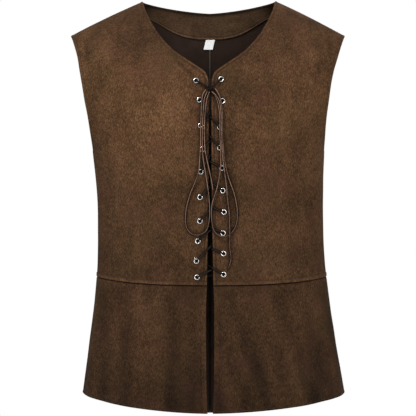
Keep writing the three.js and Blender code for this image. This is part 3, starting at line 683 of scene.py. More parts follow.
def suede(name, dark, mid, light, red, olive):
    """Brushed suede: patches where the nap lies another way, a red and an olive cast, fine nap."""
    n = Nodes(name)
    patches = n.noise(11.0, 5.0, 0.62, distortion=0.5)
    streaks = n.noise(24.0, 5.0, 0.6, n.mapped((1.7, 1.7, 0.6), (0.0, 0.1, 0.0)))
    cloudy = n.noise(130.0, 5.0, 0.7)
    nap = n.noise(620.0, 4.0, 0.8, n.mapped((1.0, 1.0, 0.42), (0.0, 0.6, 0.0)))
    grain = n.noise(1500.0, 2.0, 0.6)
    tone = n.summed((patches, 0.17), (streaks, 0.11), (cloudy, 0.16), (nap, 0.56))
    colour = n.ramp(tone, (0.408, dark), (0.5, mid), (0.592, light))
    colour = n.mix(colour, red, n.spread(n.noise(17.0, 4.0, 0.6), 0.5, 0.72, 0.0, 0.36))
    elsewhere = n.mapped(shift=(3.7, 1.9, 5.3))
    colour = n.mix(colour, olive, n.spread(n.noise(13.0, 4.0, 0.6, elsewhere), 0.5, 0.72, 0.0, 0.28))
    return n.set(
        Base_Color=in_contact(n, toned(n, colour), 0.009, 0.16), Roughness=0.95, Specular_IOR_Level=0.12,
        Sheen_Weight=0.05, Sheen_Roughness=0.5, Sheen_Tint=light,
        Normal=n.bump(grain, 0.35, 0.0003, n.bump(nap, 0.5, 0.0007)))


def cord_suede(name, dark, mid, light, by_tone):
    """The lace's leather: a painted highlight on its outer side, away from the vest, and painted shade along
    its sides.
    """
    n = Nodes(name)
    outward = n.math("MAXIMUM", n.math("MULTIPLY", n.part(n.normal, "Y"), -1.0), 0.0)
    flank_shade = n.math("SUBTRACT", 1.0, n.math("POWER", outward, 0.9))
    fibres = n.noise(700.0, 3.0, 0.6, n.mapped((1.0, 1.0, 0.35)))
    tone = n.summed((flank_shade, 1.1), (fibres, 0.25), (n.noise(60.0, 3.0, 0.6), 0.3))
    colour = n.ramp(tone, (0.29, light), (0.42, mid), (0.68, dark))
    if by_tone:
        colour = toned(n, colour)
    else:
        # The bow's lower half hangs out of the light
        colour = n.darkened(colour, n.spread(n.part(n.place, "Z"), -0.4, -0.31, 0.58, 1.0))
    return n.set(
        Base_Color=colour, Roughness=0.7, Specular_IOR_Level=0.14, Normal=n.bump(fibres, 0.4, 0.0003))


def woven(name, dark, light, threads, glow=0.0, shut_in=False):
    """A plain woven cloth, for the wrong side, the label and binding. The label's glows a little: painted
    light.
    """
    n = Nodes(name)
    inputs = {"Scale": threads, "Distortion": 1.2, "Vector": n.place}
    across, down = (
        n.add("ShaderNodeTexWave", inputs, wave_type="BANDS", bands_direction=axis).outputs["Fac"]
        for axis in "XZ")
    weave = n.math("MULTIPLY", across, down)
    tone = n.summed((weave, 0.3), (n.noise(38.0, 4.0, 0.6), 0.7))
    colour = toned(n, n.ramp(tone, (0.25, dark), (0.75, light)))
    if shut_in:
        colour = in_contact(n, colour, 0.005, 0.2)
    return n.set(
        Base_Color=colour, Roughness=0.9, Specular_IOR_Level=0.15,
        Emission_Color=(1, 1, 1), Emission_Strength=glow, Normal=n.bump(weave, 0.25, 0.0003))


def plain_thread(name, colour):
    n = Nodes(name)
    twist = n.noise(900.0, 2.0, 0.5, n.mapped((1.0, 1.0, 3.0)))
    dark, light = (tuple(min(1, share * c) for c in colour) for share in (0.7, 1.25))
    colour = n.ramp(twist, (0.3, dark), (0.7, light))
    return n.set(Base_Color=colour, Roughness=0.75, Normal=n.bump(twist, 0.4, 0.0002))


def nickel(name):
    n = Nodes(name)
    wear = n.noise(700.0, 4.0, 0.7)
    colour = n.ramp(n.noise(160.0, 3.0, 0.6), (0.3, (0.62, 0.61, 0.59)), (0.7, (0.82, 0.81, 0.78)))
    return n.set(
        Base_Color=toned(n, colour), Metallic=1.0, Roughness=n.spread(wear, 0.3, 0.75, 0.16, 0.34),
        Normal=n.bump(wear, 0.08, 0.0002))


SUEDE = suede(
    "suede_outer", rgb(40, 26, 14), rgb(70, 48, 29), rgb(102, 73, 50), rgb(84, 52, 42), rgb(62, 49, 27))
FACING = suede(
    "suede_facing", rgb(57, 42, 29), rgb(78, 58, 41), rgb(100, 78, 58), rgb(84, 60, 48), rgb(74, 62, 44))
INSIDE = woven("wrong_side", rgb(45, 33, 27), rgb(66, 49, 40), 900.0, shut_in=True)
# The lace's painted shade, its own mid brown and its painted highlight
CORD_COLOURS = (rgb(14, 9, 7), rgb(64, 44, 34), rgb(130, 102, 85))
LACE = cord_suede("suede_lace", *CORD_COLOURS, True)
CORD = cord_suede("suede_free_cord", *CORD_COLOURS, False)
THREAD = plain_thread("thread_brown", rgb(84, 60, 42))
BINDING = woven("binding", rgb(66, 56, 50), rgb(104, 92, 84), 1400.0)
# The label glows a little, painted light that brightens it in the shade of the neck
LABEL_CLOTH = woven("label_cloth", rgb(248, 248, 246), rgb(255, 255, 254), 2200.0, glow=0.12)
METAL = nickel("nickel")


# Camera at the photograph's place

camera_data = bpy.data.cameras.new("camera")
camera = bpy.data.objects.new("camera", camera_data)
bpy.context.scene.collection.objects.link(camera)
CAMERA_DIP = 0.96
camera_data.lens = 118.6
camera_data.sensor_width = 36.0
camera.location = (-0.0035, -2.4, -0.3205)
camera.rotation_euler = (math.radians(90 - CAMERA_DIP), 0, 0)
bpy.context.scene.camera = camera


# Free ends and loops of the lace

def to_eyelet(x, z):
    """How far places are from the nearest eyelet's middle."""
    return np.min([np.hypot(x - ex, z - ez) for pair in EYELETS for ex, ez in pair.values()], axis=0)


def resting_lift(x, z):
    """How high a free cord's middle is: just off the suede, and over the lacing and the eyelets."""
    over = 1 - ease((np.abs(x) - 24) / 8)
    bump = 1 - ease((to_eyelet(x, z) - 8) / 8)
    lacing = LACE_R + 0.3 + (2 * LACE_R + 0.3) * over
    return np.maximum(lacing + 0.8, LACE_R + 0.3 + 3.0 * bump + 0.7 + 1.5 * over * bump)


def free_cord(name, rows, node):
    x, extra, z = catmull([(x, extra, z) for x, z, extra in rows], 110).T
    points = on_front(x, z, resting_lift(x, z) + extra, False) * MM
    data = bpy.data.curves.new(name, "CURVE")
    data.dimensions = "3D"
    data.bevel_depth = LACE_R * MM
    data.bevel_resolution = 4
    data.use_fill_caps = True
    spline = data.splines.new("POLY")
    spline.points.add(len(points) - 1)
    for k, p in enumerate(points):
        spline.points[k].co = (*p, 1)
        spline.points[k].radius = 1 + 0.05 * math.sin(1.7 * k) + 0.04 * math.sin(0.63 * k + 1)
    spline.use_smooth = True
    data.materials.append(CORD)
    obj = bpy.data.objects.new(name, data)
    bpy.context.scene.collection.objects.link(obj)
    settle(obj, "lace", node)
    tuple(points[0])
    float(lengths(points)[-1])


free_cord("bow_loop_right", LOOP_RIGHT, "loop_right")
free_cord("bow_loop_left", LOOP_LEFT, "loop_left")
free_cord("bow_tail_right", TAIL_RIGHT, "tail_right")
free_cord("bow_tail_left", TAIL_LEFT, "tail_left")


# Lace through the eyelets, and down through the opening between two of them

# How far before or past the place, and the height off the suede
THROUGH_EYELET = [(-1.2, -4.9), (0, -3.4), (0, 1.5), (1.3, 3.05)]
THROUGH_GAP = [(-1.95, 1.5), (-0.5, 0.55), (0.5, -2.6), (1.95, -3.6)]


def through(steps, before, here, after):
    """Points of the lace where it passes through a place, as rows of x, z and height."""
    before, here, after = (np.array(p, float) for p in (before, here, after))
    way_in = (here - before) / np.linalg.norm(here - before)
    way_out = (after - here) / np.linalg.norm(after - here)
    return [(*(here + far * (way_in if far < 0 else way_out)), height) for far, height in steps]


def lace_half(side, bow_end):
    """The lace's way from the lowest eyelet on a side up to the bow."""
    other = {"right": "left", "left": "right"}
    rows = []
    before = EYELETS[-1][other[side]]
    for k in range(len(EYELETS) - 1, -1, -1):
        here = EYELETS[k][side]
        gap = (CROSSINGS[k - 1]["shift"], CROSSINGS[k - 1][side]) if k else bow_end
        rows += through(THROUGH_EYELET, before, here, gap)
        if k:
            side = other[side]
            rows += through(THROUGH_GAP, here, gap, EYELETS[k - 1][side])
            before = gap
    return rows


def lace_mesh():
    """Points, faces, material and tones of the lace: painted shade darkens it all along, most where it goes
    into an eyelet or the opening.
    """
    right = (KNOT["x"] - 6.9, KNOT["z"] + 3)
    left = (KNOT["x"] + 6.9, KNOT["z"] + 3.8)
    end_lift = KNOT["lift"] - 0.4
    rows = lace_half("left", right)[::-1] + lace_half("right", left)
    x, z, lift = np.array([(*right, end_lift), *rows, (*left, end_lift)]).T
    fine = catmull(on_front(x, z, lift, False), 900)
    k = np.arange(len(fine))
    radius = 1.1 * LACE_R * (1 + 0.04 * np.sin(k * 0.8) + 0.03 * np.sin(k * 0.31))
    x, y, z = fine.T
    height = on_front(x, z, 0.0, False)[:, 1] - y
    # Painted shade, deepest inside the eyelets and in the opening
    dark = np.maximum(1 - ease((height + 1.0) / 2.5), 0.95 * (1 - ease((to_eyelet(x, z) - 1.9) / 1.4)))
    return (*tube(fine, radius, 12), [LACE], np.repeat(0.10 * (1 - 0.97 * dark), 12))


settle(mesh_object("lace_crossed", *lace_mesh()), "lace", "lace")


# The knot of the bow: a twist of both ends under one wrapped turn

def knot_mesh():
    centre = on_front(KNOT["x"], KNOT["z"], KNOT["lift"], False)
    n = front_normal(KNOT["x"], KNOT["z"])
    tilt = 0.12
    along = np.array([math.cos(tilt), 0, math.sin(tilt)])
    up = np.cross(n, along)
    up /= np.linalg.norm(up)

    def strand(far, out, rise, radius):
        line = centre + np.outer(far, along) + np.outer(out, n) + np.outer(rise, up)
        return tube(line, radius, 12)

    parts = []
    s = np.linspace(-1, 1, 40)
    spread = 1.35 * (1 - 0.25 * np.abs(s))
    for start in (0.0, math.pi):
        angle = start + s * 2.6
        parts.append(strand(s * 5.6, 0.9 * spread * np.cos(angle) - 0.5, 1.9 * spread * np.sin(angle), 1.25))
    s = np.linspace(0, 1, 64)
    angle = -0.6 + s * 2 * math.pi * 1.55
    turn = 2.35
    parts.append(strand(-1.9 + s * 3.8, 0.96 * turn * np.sin(angle), 1.62 * turn * np.cos(angle), 1.2))
    return joined(parts)


knot_points, knot_faces = knot_mesh()
# The knot is toned near black: painted shade
knot = mesh_object("bow_knot", knot_points, knot_faces, [LACE], np.full(len(knot_points), 0.07))
settle(knot, "lace", "knot")


# Panels as fine shells on the same form

# Distances from an edge where the shell has rows, so that a turned edge and its seam show
EDGE_STEPS = np.array([0, 0.3, 0.8, 1.6, 2.6, 3.6, 4.3, 4.8, 5.3, 6.0, 7.2, 9.2])
SEAM_STEPS = np.array([0, 0.25, 0.6, 1.1, 1.8, 3.0])
RIDGE_STEPS = np.array([0.004, 0.35, 0.9, 2.0, 3.6, 4.9, 5.6, 6.2, 7.0, 8.4, 11.0])
WAIST_STEPS = np.array([0.004, 0.4, 1.0, 1.8, 3.0])
HEM_STEPS = np.array([0, 0.3, 0.8, 1.5, 2.4, 3.3, 4.2, 6.0])
PITCH = 3.0
# Points along each row that the even steps are measured on
SCAN = 700


def spaced_out(total, low, high, middle):
    """Distances along a row: close at both ends, even between."""
    high = total - high[::-1]
    return np.concatenate([low, np.linspace(low[-1], high[0], middle + 2)[1:-1], high])


def turned_edge(d, band=5.0, depth=0.8, puff=0.5):
    """How far the cloth rises near a turned and stitched edge, at a distance from it."""
    roll = np.sqrt(np.clip(1 - (1 - np.clip(d / 1.1, 0, 1)) ** 2, 0, 1)) - 1
    swell = puff * ease(d / 1.2) * (1 - ease((d - band + 1.4) / 1.2))
    return roll + swell - depth * bell(d, band, 0.7)


def edge_light_and_shade(d, band=5.0, highlight=0.3, groove_shade=0.3):
    """A painted highlight along a turned edge and just past its stitched groove, painted shade in the groove,
    and a dark painted line on the very edge.
    """
    edge = highlight * bell(d, 1.1, 1.0) - 0.45 * bell(d, 0, 0.45)
    return 1 + edge - groove_shade * bell(d, band, 0.9) + 0.5 * highlight * bell(d, band + 1.9, 1.1)


def sewn_seam(d):
    """How the cloth dips into a seam."""
    return -0.9 * np.exp(-((d / 1.1) ** 1.3))


def seam_tone(d):
    return 1 - 0.4 * np.exp(-(d ** 1.5)) + 0.12 * bell(d, 3.0, 1.4)


# Where painted highlights and painted shade lie over wide areas, lighter or darker: face, x, z, half widths,
# share
LIGHT_AND_SHADE_PATCHES = [
    (-1, -104, -205, 62, 74, 0.58),
    (-1, -158, -120, 34, 60, 0.22),
    (-1, -60, -255, 40, 46, 0.16),
    (-1, 112, -215, 66, 80, 0.26),
    (-1, 176, -130, 40, 70, 0.26),
    (-1, -92, -70, 60, 34, -0.34),
    (-1, -142, -84, 28, 26, -0.20),
    (-1, -108, -124, 24, 24, -0.12),
    (-1, -184, -122, 18, 42, 0.09),
    (-1, 128, -62, 30, 32, -0.11),
    (-1, 178, -112, 34, 34, 0.06),
    (-1, -214, -150, 16, 80, 0.12),
    (-1, 66, -150, 26, 40, -0.10),
    (-1, 34, -300, 10, 90, -0.26),
    (-1, -190, -360, 22, 110, 0.04),
    (-1, 190, -340, 30, 120, 0.28),
    (-1, -218, -600, 14, 50, -0.18),
    (-1, 224, -600, 14, 50, -0.2),
    (-1, -160, -560, 26, 60, 0.12),
    (-1, 168, -560, 30, 60, 0.12),
    (-1, -30, -640, 26, 60, -0.1),
    (-1, 90, -620, 40, 34, -0.1),
    (-1, -60, -400, 70, 50, 0.05),
    (-1, 96, -410, 60, 46, -0.04),
    (-1, -30, -468, 110, 24, -0.11),
    (-1, -100, -467, 32, 10, -0.22),
    (-1, 20, -500, 150, 16, -0.11),
    (1, -90, -190, 66, 76, 0.34),
    (1, 104, -200, 60, 80, 0.42),
    (1, 20, -380, 60, 70, -0.10),
    (1, -150, -420, 40, 60, 0.10),
]


def painted_light_and_shade(p):
    """Painted light and shade over the whole vest: a painted highlight on the chest, and painted shade darker
    towards the hem.
    """
    face = np.sign(p[..., 1])
    # Painted shade, darker towards the hem and just below the waist seam
    tone = np.interp(p[..., 2], [-745, -700, -640, -560, -500, -486, -484, -440, -300, -60, 0],
                     [0.39, 0.43, 0.53, 0.64, 0.68, 0.74, 0.88, 0.83, 0.91, 0.94, 0.88])
    for side, x, z, wide, high, share in LIGHT_AND_SHADE_PATCHES:
        away = ((p[..., 0] - x) / wide) ** 2 + ((p[..., 2] - z) / high) ** 2
        tone = tone + share * np.exp(-away) * (face * side > 0)
    # Streaks down the skirt, and painted shade in each fold's valley with painted light on its crest
    low = ease((-486 - p[..., 2]) / 30)
    lean = p[..., 0] + 0.35 * p[..., 2] * (p[..., 0] > 0)
    streak = np.sin(lean * 0.115 + 0.9 * np.sin(p[..., 2] * 0.011 + face)) * np.sin(lean * 0.047 + 1.3 * face)
    tone = tone + 0.16 * low * streak
    return tone + 0.05 * fold_sum(p, FOLDS, FOLD_CLEAR) + 0.13 * fold_sum(p, CREASES, CREASE_CLEAR)


def back_drop(x):
    """How far the back neckline lies under the high points of the shoulders."""
    return -BACK_NECK_DROP * (1 - np.clip(np.abs(x) / NECK_X, 0, 1) ** BACK_NECK_POWER)


def back_top(x):
    """The level where the back ends: the neckline, then the shoulder seam."""
    return np.where(np.abs(x) < NECK_X, np.minimum(level_at(np.abs(x), back_drop(x)), 1), 1)


def row_at(face, v, turn):
    """The form's row for a shell's own row. On the back the upper rows bend with the neckline."""
    turn = np.asarray(turn, float)
    if face < 0 or v <= 0:
        return np.full(turn.shape, v)
    across = np.sin(turn) ** (2 / POWER)
    row = np.full(turn.shape, float(v))
    for _ in range(12):
        half = upper_section(face, np.clip(row, 0, 1))[1]
        row = 0.5 * row + 0.5 * v * back_top(half * across)
    return np.minimum(row, v)


def front_edge_x(row):
    """The front edge's x at a row, up to the end of the neckline."""
    s = np.linspace(0, len(FRONT_EDGE) - 1, 3000)
    x, z = (np.interp(s, np.arange(len(FRONT_EDGE)), column) for column in FRONT_EDGE.T)
    below = z < (level_height(x, row) if row >= 0 else row_height(row))
    return float(x[-1] if below.all() else x[np.argmin(below)])


def span_rows(length, low, high):
    middle = max(4, int((length - low[-1] - high[-1]) / PITCH))
    return spaced_out(length, low, high, middle) / length


def side_turn(depth):
    """The turn where a panel ends at the side seam."""
    return math.acos((SEAM / 2 / depth) ** (POWER / 2))


def shell(name, node, side, face, rows, first, last, steps, columns, profile):
    """One panel. first and last give the turn at a row's ends; profile gives the rise and the tone."""
    low_steps, high_steps = steps
    t = np.linspace(0, 1, SCAN)
    t = 0.5 * t + 0.5 * (1 - np.cos(math.pi * t)) / 2
    scans = []
    for v in rows:
        a, b = first(v), last(v)
        turns = a + (b - a) * t
        scans.append((turns, form_point(face, row_at(face, v, turns), turns)))

    def scales(end, inward):
        """How much longer the way in along a row is than straight off its edge."""
        edge = np.gradient(np.array([points[end] for _, points in scans]), axis=0)
        out = []
        for (_, points), along in zip(scans, edge):
            into = points[inward] - points[end]
            straight = np.linalg.norm(np.cross(along, into))
            straight /= max(np.linalg.norm(along) * np.linalg.norm(into), 1e-9)
            out.append(1 / max(straight, 0.45))
        return np.convolve(np.pad(out, 3, mode="edge"), np.ones(7) / 7, mode="valid")

    outer, inner, tones = [], [], []
    for v, (turns, points), low, high in zip(rows, scans, scales(0, 6), scales(-1, -7)):
        length = lengths(points)
        total = length[-1]
        low = min(low, 0.45 * total / low_steps[-1])
        high = min(high, 0.45 * total / high_steps[-1])
        want = spaced_out(total, low * low_steps, high * high_steps, columns)
        at = np.interp(want, length, turns)
        rise, tone = profile(v, want / low, (total - want) / high, at)
        rise = np.maximum(rise, -1.5)
        row = row_at(face, v, at)
        outer.append(off_form(side, face, row, at, rise))
        inner.append(off_form(side, face, row, at, -WALL - 0.25 * np.minimum(0, rise)))
        tones.append(tone * painted_light_and_shade(outer[-1]))
    # The wrong side is lighter by the neck, where light falls in
    inner_tones = np.interp(
        np.array(inner)[..., 2], [-330, -150, -118, -100, -76, -50], [0.85, 0.62, 0.6, 0.7, 0.87, 0.95])
    obj = sheet_object(name, outer, inner, side * face > 0, [SUEDE, INSIDE], np.stack([tones, inner_tones]))
    return settle(obj, "suede", node), np.array(outer)


def bodice_rows(face):
    low = -1 + span_rows(BODICE_SIDE, RIDGE_STEPS, np.array([0.0, 1.0]))
    s = np.linspace(0, seam_row(face, SEAM) if face < 0 else 1 - 2e-6, 4000)
    # Measured along a line down the chest, this far out
    chest_x = 150.0
    length = lengths(form_point(face, s, turn_of(chest_x, upper_section(face, s)[1])))
    want = spaced_out(length[-1], np.array([0.0, 2.0]), SEAM_STEPS, int(length[-1] / PITCH))
    return np.concatenate([low[low < -1e-4], np.interp(want, length, s)])


def bodice(side, face, word):
    def section(v):
        """The depth, half width and armhole edge at a row."""
        if v >= 0:
            return upper_section(face, v)
        z = row_height(v)
        return body_depth(face, z), body_half(z), None

    def first(v):
        return float(turn_of(front_edge_x(v) if face < 0 else SEAM / 2, section(v)[1]))

    def last(v):
        depth, half, edge = section(v)
        return float(turn_of(edge, half)) if v > 0 else side_turn(depth)

    def profile(v, d_low, d_high, turns):
        top = np.full_like(d_low, max(0.0, 1 - v) * -UNDERARM_Z)
        if face < 0:
            share = 0.85 - 0.5 * float(ease((v - 0.42) / 0.16))
            rise = turned_edge(d_low) * (0.4 + 0.6 * share)
            tone = 1 + (edge_light_and_shade(d_low) - 1) * share
        else:
            rise = sewn_seam(d_low) * ease(top / 6 - 0.1)
            tone = seam_tone(d_low)
        if v > 0:
            opening = ease(v / 0.02)
            at_neck = 0.0
            if face > 0:
                half = upper_section(face, np.clip(row_at(face, v, turns), 0, 1))[1]
                at_neck = 1 - ease((half * np.sin(turns) ** (2 / POWER) - NECK_X + 4) / 4)
            rise = rise + blend(turned_edge(d_high, 6.0, 0.35, 0.25), sewn_seam(d_high), opening)
            rise = rise + blend(turned_edge(top), sewn_seam(top * 6), at_neck)
            tone = tone * blend(edge_light_and_shade(d_high, 6.0, 0.12, 0.16), seam_tone(d_high), opening)
            tone = tone * blend(edge_light_and_shade(top), seam_tone(top * 4), at_neck)
            return rise, tone
        # The raised ridge over the waist seam, with a painted highlight on its top and a painted shadow line
        # at its foot
        up = (v + 1) * BODICE_SIDE
        ridge = 1.4 * (1 - 0.5 * ease((turns - 1.2) / 0.3)) * (0.25 + 0.75 * math.sqrt(min(1, up)))
        rise = rise + sewn_seam(d_high) + ridge * (1 - ease((up - 4.6) / 2.6)) - 0.15 * bell(up, 7.0, 0.9)
        highlight = 0.44 * (1 - ease((up - 2.8) / 2.0)) * ease((up - 0.2) / 0.8)
        tone = tone * seam_tone(d_high) * (1 + highlight - 0.4 * bell(up, 0, 0.4) - 0.08 * bell(up, 7.2, 1.2))
        return rise, tone

    place = f"{FACE_WORD[face]}_{word}"
    steps = (EDGE_STEPS if face < 0 else SEAM_STEPS, EDGE_STEPS)
    return shell(f"bodice_{place}", place, side, face, bodice_rows(face), first, last, steps, 62, profile)


def skirt(side, face, word):
    def height(v):
        return WAIST_CENTRE_Z + (v + 1) * (WAIST_CENTRE_Z - HEM_FRONT_Z)

    def first(v):
        x = smooth(SKIRT_EDGE[:, 0], SKIRT_EDGE[:, 1], height(v)) if face < 0 else SEAM / 2
        return float(turn_of(x, body_half(height(v))))

    def last(v):
        return side_turn(body_depth(face, height(v)))

    def profile(v, d_low, d_high, turns):
        rise = turned_edge(d_low, 9.5, 0.4, 0.3) if face < 0 else sewn_seam(d_low)
        tone = edge_light_and_shade(d_low, 9.5, 0.2, 0.22) if face < 0 else seam_tone(d_low)
        down = (-1 - v) * SKIRT_DROP
        up = SKIRT_DROP - down
        tuck = 1.2 * math.exp(-((down / 2.2) ** 1.5))
        rise = rise + sewn_seam(d_high) + turned_edge(up, 3.4, 0.5, 0.4) - tuck
        # A painted shadow under the waist ridge along the top of the skirt, stronger in some places than in
        # others
        ridge_shadow = 0.6 + 0.4 * np.sin(turns * 31.0) * np.sin(turns * 13.0 + 1)
        tone = tone * seam_tone(d_high) * edge_light_and_shade(up, 3.4, 0.24, 0.25)
        return rise, tone * (1 - 0.7 * ridge_shadow * bell(down, 0, 1.5))

    place = f"skirt_{FACE_WORD[face]}_{word}"
    rows = (-1 - span_rows(SKIRT_DROP, WAIST_STEPS, HEM_STEPS))[::-1]
    steps = (EDGE_STEPS if face < 0 else SEAM_STEPS, SEAM_STEPS)
    return shell(f"{place}_cloth", place, side, face, rows, first, last, steps, 66, profile)


def stitches(name, lines, pitch=3.1, length=2.2, radius=0.24):
    """Short threads lying in the stitched grooves. Each line is its points and the way out of the cloth."""
    lift = np.array([-0.25, 0.12, 0.22, 0.12, -0.25])
    parts = []
    for points, out in lines:
        along = lengths(points)
        count = max(2, int(along[-1] / pitch))
        for k in range(count):
            middle = (k + 0.5) * along[-1] / count
            at = middle + length * np.array([-0.5, -0.3, 0, 0.3, 0.5])
            p = np.stack([np.interp(at, along, column) for column in points.T], -1)
            n = np.array([np.interp(middle, along, column) for column in out.T])
            parts.append(tube(p + lift[:, None] * n, radius * np.array([0.7, 1, 1, 1, 0.7]), 5))
    settle(mesh_object(name, *joined(parts), [THREAD]), "suede")


def net_line(net, axis, index, share=0.5):
    """A line along a shell's net, between two of its rows or columns, and the way out of the cloth."""
    if axis:
        net = np.swapaxes(net, 0, 1)
    a, b = net[index], net[index + 1]
    line = a + (b - a) * share
    out = np.cross(np.gradient(line, axis=0), b - a)
    out /= np.linalg.norm(out, axis=1, keepdims=True)
    level = line * (1, 1, 0)
    return line, np.where((out * level).sum(axis=1, keepdims=True) < 0, -out, out)


nets = {}
for word, side in (("right", -1), ("left", 1)):
    for face in (-1, 1):
        obj, nets["bodice", face, word] = bodice(side, face, word)
        obj, nets["skirt", face, word] = skirt(side, face, word)


for word in ("right", "left"):
    bodices = [nets["bodice", face, word] for face in (-1, 1)]
    skirts = [nets["skirt", face, word] for face in (-1, 1)]
    upper = [net[net[:, -1, 2] > UNDERARM_Z + 8] for net in bodices]
    stitches(f"stitches_edge_{word}", [net_line(bodices[0], 1, 7, 0.4)])
    stitches(f"stitches_armhole_{word}", [net_line(net, 1, net.shape[1] - 11) for net in upper])
    stitches(f"stitches_waist_{word}", [net_line(net, 0, 5, 0.2) for net in bodices])
    stitches(f"stitches_hem_{word}", [net_line(net, 0, 5, 0.2) for net in skirts])


# Facing and label inside the back of the neck

def inside_back(level, x, lift):
    """Points inside the back's inner face, at a level and an x."""
    turn = np.maximum(turn_of(np.abs(x), upper_section(1, level)[1]), 0.0005)
    return off_form(np.where(x < 0, -1.0, 1.0), 1, level, turn, -WALL - lift)


def facing():
    s = np.linspace(-1, 1, 181)
    edge_rows = [0, 0.006, 0.016, 0.035, 0.06, 0.085, 0.105, 0.13]
    S, T = np.meshgrid(s, np.concatenate([edge_rows, np.linspace(0.16, 0.97, 26), [0.985, 1]]))
    top_x = np.abs(S) * (NECK_X - 1)
    low_x = np.abs(S) * FACING_HALF
    top_level = np.minimum(level_at(top_x, back_drop(top_x)), 0.985) - 0.003
    low_level = smooth(FACING_EDGE[:, 0], FACING_EDGE[:, 1], low_x)
    level = low_level + (top_level - low_level) * T
    x = np.where(S < 0, -1, 1) * (low_x + (top_x - low_x) * T)
    x = np.where(S == 0, 0.01, x)
    d = T * FACING_HEIGHT
    ripple = 0.5 * bell(S, 0.33, 0.12) * np.sin(T * 15 + S * 7) + 0.22 * np.sin(S * 21 + T * 3)
    ripple = ripple * ease(T / 0.2) * (1 - ease((T - 0.85) / 0.15))
    outer = inside_back(level, x, 0.5 + 1.2 + turned_edge(d, 3.6, 0.4, 0.35) + ripple)
    inner = inside_back(level, x, 0.35)
    # A lighter band and a darker groove along the lower edge; painted shadow along the top, under the back's
    # rim, and painted shade in the ends by the shoulders
    tone = 1.06 + 0.5 * bell(d, 1.8, 1.6) - 0.35 * bell(d, 4.6, 0.9) - 0.5 * bell(d, 0, 0.4)
    tone = tone * (1 - 0.85 * bell(d, FACING_HEIGHT, 4.0)) * (1 - 0.75 * ease((np.abs(S) - 0.74) / 0.24))
    tones = np.stack([tone, np.ones_like(tone)])
    obj = sheet_object("facing_of_neck", outer, inner, False, [FACING, INSIDE], tones)
    settle(obj, "facing", "neck_facing")


facing()


def label():
    J, I = np.meshgrid(np.linspace(0, 1, 29), np.linspace(0, 1, 29))
    z = LABEL["bottom"] + (LABEL["top"] - LABEL["bottom"]) * I
    x = LABEL["left"] + LABEL["width"] * J + LABEL["drift"] * (1 - I)
    x = np.where(np.abs(x) < 0.01, 0.01, x)
    curl = 1.8 * (1 - I) ** 2 + 0.25 * np.sin(J * 5 + 0.5) * (1 - I)
    level = level_at(np.abs(x), z)
    edge = -0.25 * (bell(J, 0, 0.04) + bell(J, 1, 0.04) + bell(I, 0, 0.03))
    outer = inside_back(level, x, 0.45 + 0.6 + curl + edge)
    inner = inside_back(level, x, 0.4 + curl)
    obj = settle(sheet_object("blank_label", outer, inner, False, [LABEL_CLOTH]), "label", "label")


label()


def centre_back_seam():
    """The sewn edges that show as a line down the inside of the back."""
    z = np.concatenate([np.linspace(-58, -262, 70), np.linspace(-265, -480, 70), np.linspace(-492, -733, 80)])
    row = np.where(z > UNDERARM_Z, level_at(0.0, z), row_down(z))
    below = -1 - (WAIST_CENTRE_Z - z) / (WAIST_CENTRE_Z - HEM_BACK_Z)
    row = np.where(z < WAIST_CENTRE_Z, below, row)
    outer, inner = [], []
    # Distance from the middle, and how far it stands off the wrong side
    for off, stand in ((1.5, 0.15), (1.3, 0.75), (0.9, 0.95), (0.25, 0.75)):
        for offset in (-off, off):
            turn = turn_of(off, half_width(1, row, z))
            wave = 0.12 * np.sin(z * 0.7 + offset)
            side = np.sign(offset)
            outer.append((offset, off_form(side, 1, row, turn, -WALL - 0.1 - stand - wave)))
            inner.append((offset, off_form(side, 1, row, turn, -WALL - 0.05)))
    outer, inner = (
        np.stack([points for _, points in sorted(net, key=lambda column: column[0])], axis=1)
        for net in (outer, inner))
    # Painted shade: the seam edges darken further down inside the back, away from the neck
    tone = np.interp(z, [-733, -200, -130, -100, -80], [0.1, 0.14, 0.5, 0.75, 0.95])
    tones = np.tile(np.repeat(tone, outer.shape[1]), 2)
    settle(sheet_object("seam_edges_inside_back", outer, inner, True, [BINDING], tones), "facing")


centre_back_seam()


# Eyelets, turned as smooth rings: radius and height of the section, from the collar behind to the rim

RING = [
    (2.8, -2.6), (2.8, -3.0), (2.95, -3.1), (4.0, -3.1), (4.4, -2.95), (4.4, -2.55), (4.2, -2.4),
    (3.1, -2.35), (3.0, -2.2), (3.0, 0.2), (3.15, 0.3), (4.4, 0.3), (4.6, 0.42), (4.6, 0.66),
    (4.45, 0.92), (4.15, 1.14), (3.75, 1.22), (3.4, 1.16), (3.05, 0.96), (2.88, 0.6), (2.8, 0.1),
]
# Only the faces that are turned out to the light are bright
RING_TONES = [1.0 if h > 0.62 and r > 3.1 or h < -2.3 and r > 2.9 else 0.03 for r, h in RING]


def eyelet(word, number, place):
    base = on_front(*place, 0.0, False)
    n = front_normal(*place)
    right = np.cross((0, 0, 1), n)
    right /= np.linalg.norm(right)
    up = np.cross(n, right)
    around, m = 48, len(RING)
    verts, faces = [], []
    for k in range(around):
        angle = 2 * math.pi * k / around
        direction = math.cos(angle) * right + math.sin(angle) * up
        dent = 1 + 0.012 * math.sin(3 * angle + number)
        verts += [base + direction * r * dent + n * h for r, h in RING]
        here, there = k * m, (k + 1) % around * m
        faces += [(here + q, there + q, there + (q + 1) % m, here + (q + 1) % m) for q in range(m)]
    obj = mesh_object(f"eyelet_ring_{word}_{number:02d}", verts, faces, [METAL], np.tile(RING_TONES, around))
    settle(obj, "metal", f"eyelet_{word}_{number:02d}")


for number, pair in enumerate(EYELETS, 1):
    for word, place in pair.items():
        eyelet(word, number, place)


# Light, floor and backdrop

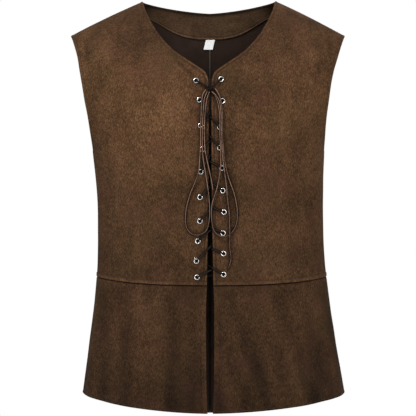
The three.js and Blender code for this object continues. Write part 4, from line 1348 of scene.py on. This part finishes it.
def area_light(name, location, target, size, power):
    data = bpy.data.lights.new(name, "AREA")
    data.shape = "RECTANGLE"
    data.size, data.size_y = size
    data.energy = power
    obj = bpy.data.objects.new(name, data)
    bpy.context.scene.collection.objects.link(obj)
    obj.location = location
    way = np.array(target) - np.array(location)
    tilt = math.acos(-way[2] / np.linalg.norm(way))
    obj.rotation_euler = (tilt, 0, math.atan2(way[1], way[0]) - math.pi / 2)


area_light("key", (-1.1, -1.7, 1.5), (0, 0, -0.3), (0.7, 0.7), 46)
area_light("fill", (0.9, -2.4, -0.1), (0, 0, -0.25), (1.2, 1.4), 26)
area_light("top", (0, 0.2, 1.9), (0, 0, -0.3), (2.0, 1.4), 14)
area_light("behind", (0.6, 2.4, 1.0), (0, 0, -0.3), (2.0, 2.0), 30)

world = bpy.data.worlds.new("studio")
bpy.context.scene.world = world
world.use_nodes = True
tree = world.node_tree
tree.nodes.clear()
out = tree.nodes.new("ShaderNodeOutputWorld")
mixer = tree.nodes.new("ShaderNodeMixShader")
path = tree.nodes.new("ShaderNodeLightPath")
tree.links.new(path.outputs["Is Camera Ray"], mixer.inputs[0])
# What lights the vest, then what is seen behind it
for k, strength in ((1, 0.36), (2, 1.0)):
    sky = tree.nodes.new("ShaderNodeBackground")
    sky.inputs["Color"].default_value = (1, 1, 1, 1)
    sky.inputs["Strength"].default_value = strength
    tree.links.new(sky.outputs[0], mixer.inputs[k])
tree.links.new(mixer.outputs[0], out.inputs["Surface"])

FLOOR_Z = -790.0
FLOOR_R = 1150
FLOOR_Y = -850
turns = np.linspace(0, 2 * math.pi, 96, endpoint=False)
ring = [(math.cos(a) * FLOOR_R, math.sin(a) * FLOOR_R + FLOOR_Y, FLOOR_Z) for a in turns]
pale = Nodes("pale_floor")
greys = pale.ramp(pale.noise(6.0, 3.0), (0.3, (0.86, 0.86, 0.86)), (0.7, (0.9, 0.9, 0.9)))
pale_floor = pale.set(Base_Color=greys, Roughness=0.8)
floor = mesh_object("floor", ring, [tuple(range(len(ring)))], [pale_floor], smooth_shade=False)

scene = bpy.context.scene
scene.view_settings.view_transform = "Standard"
scene.view_settings.look = "None"
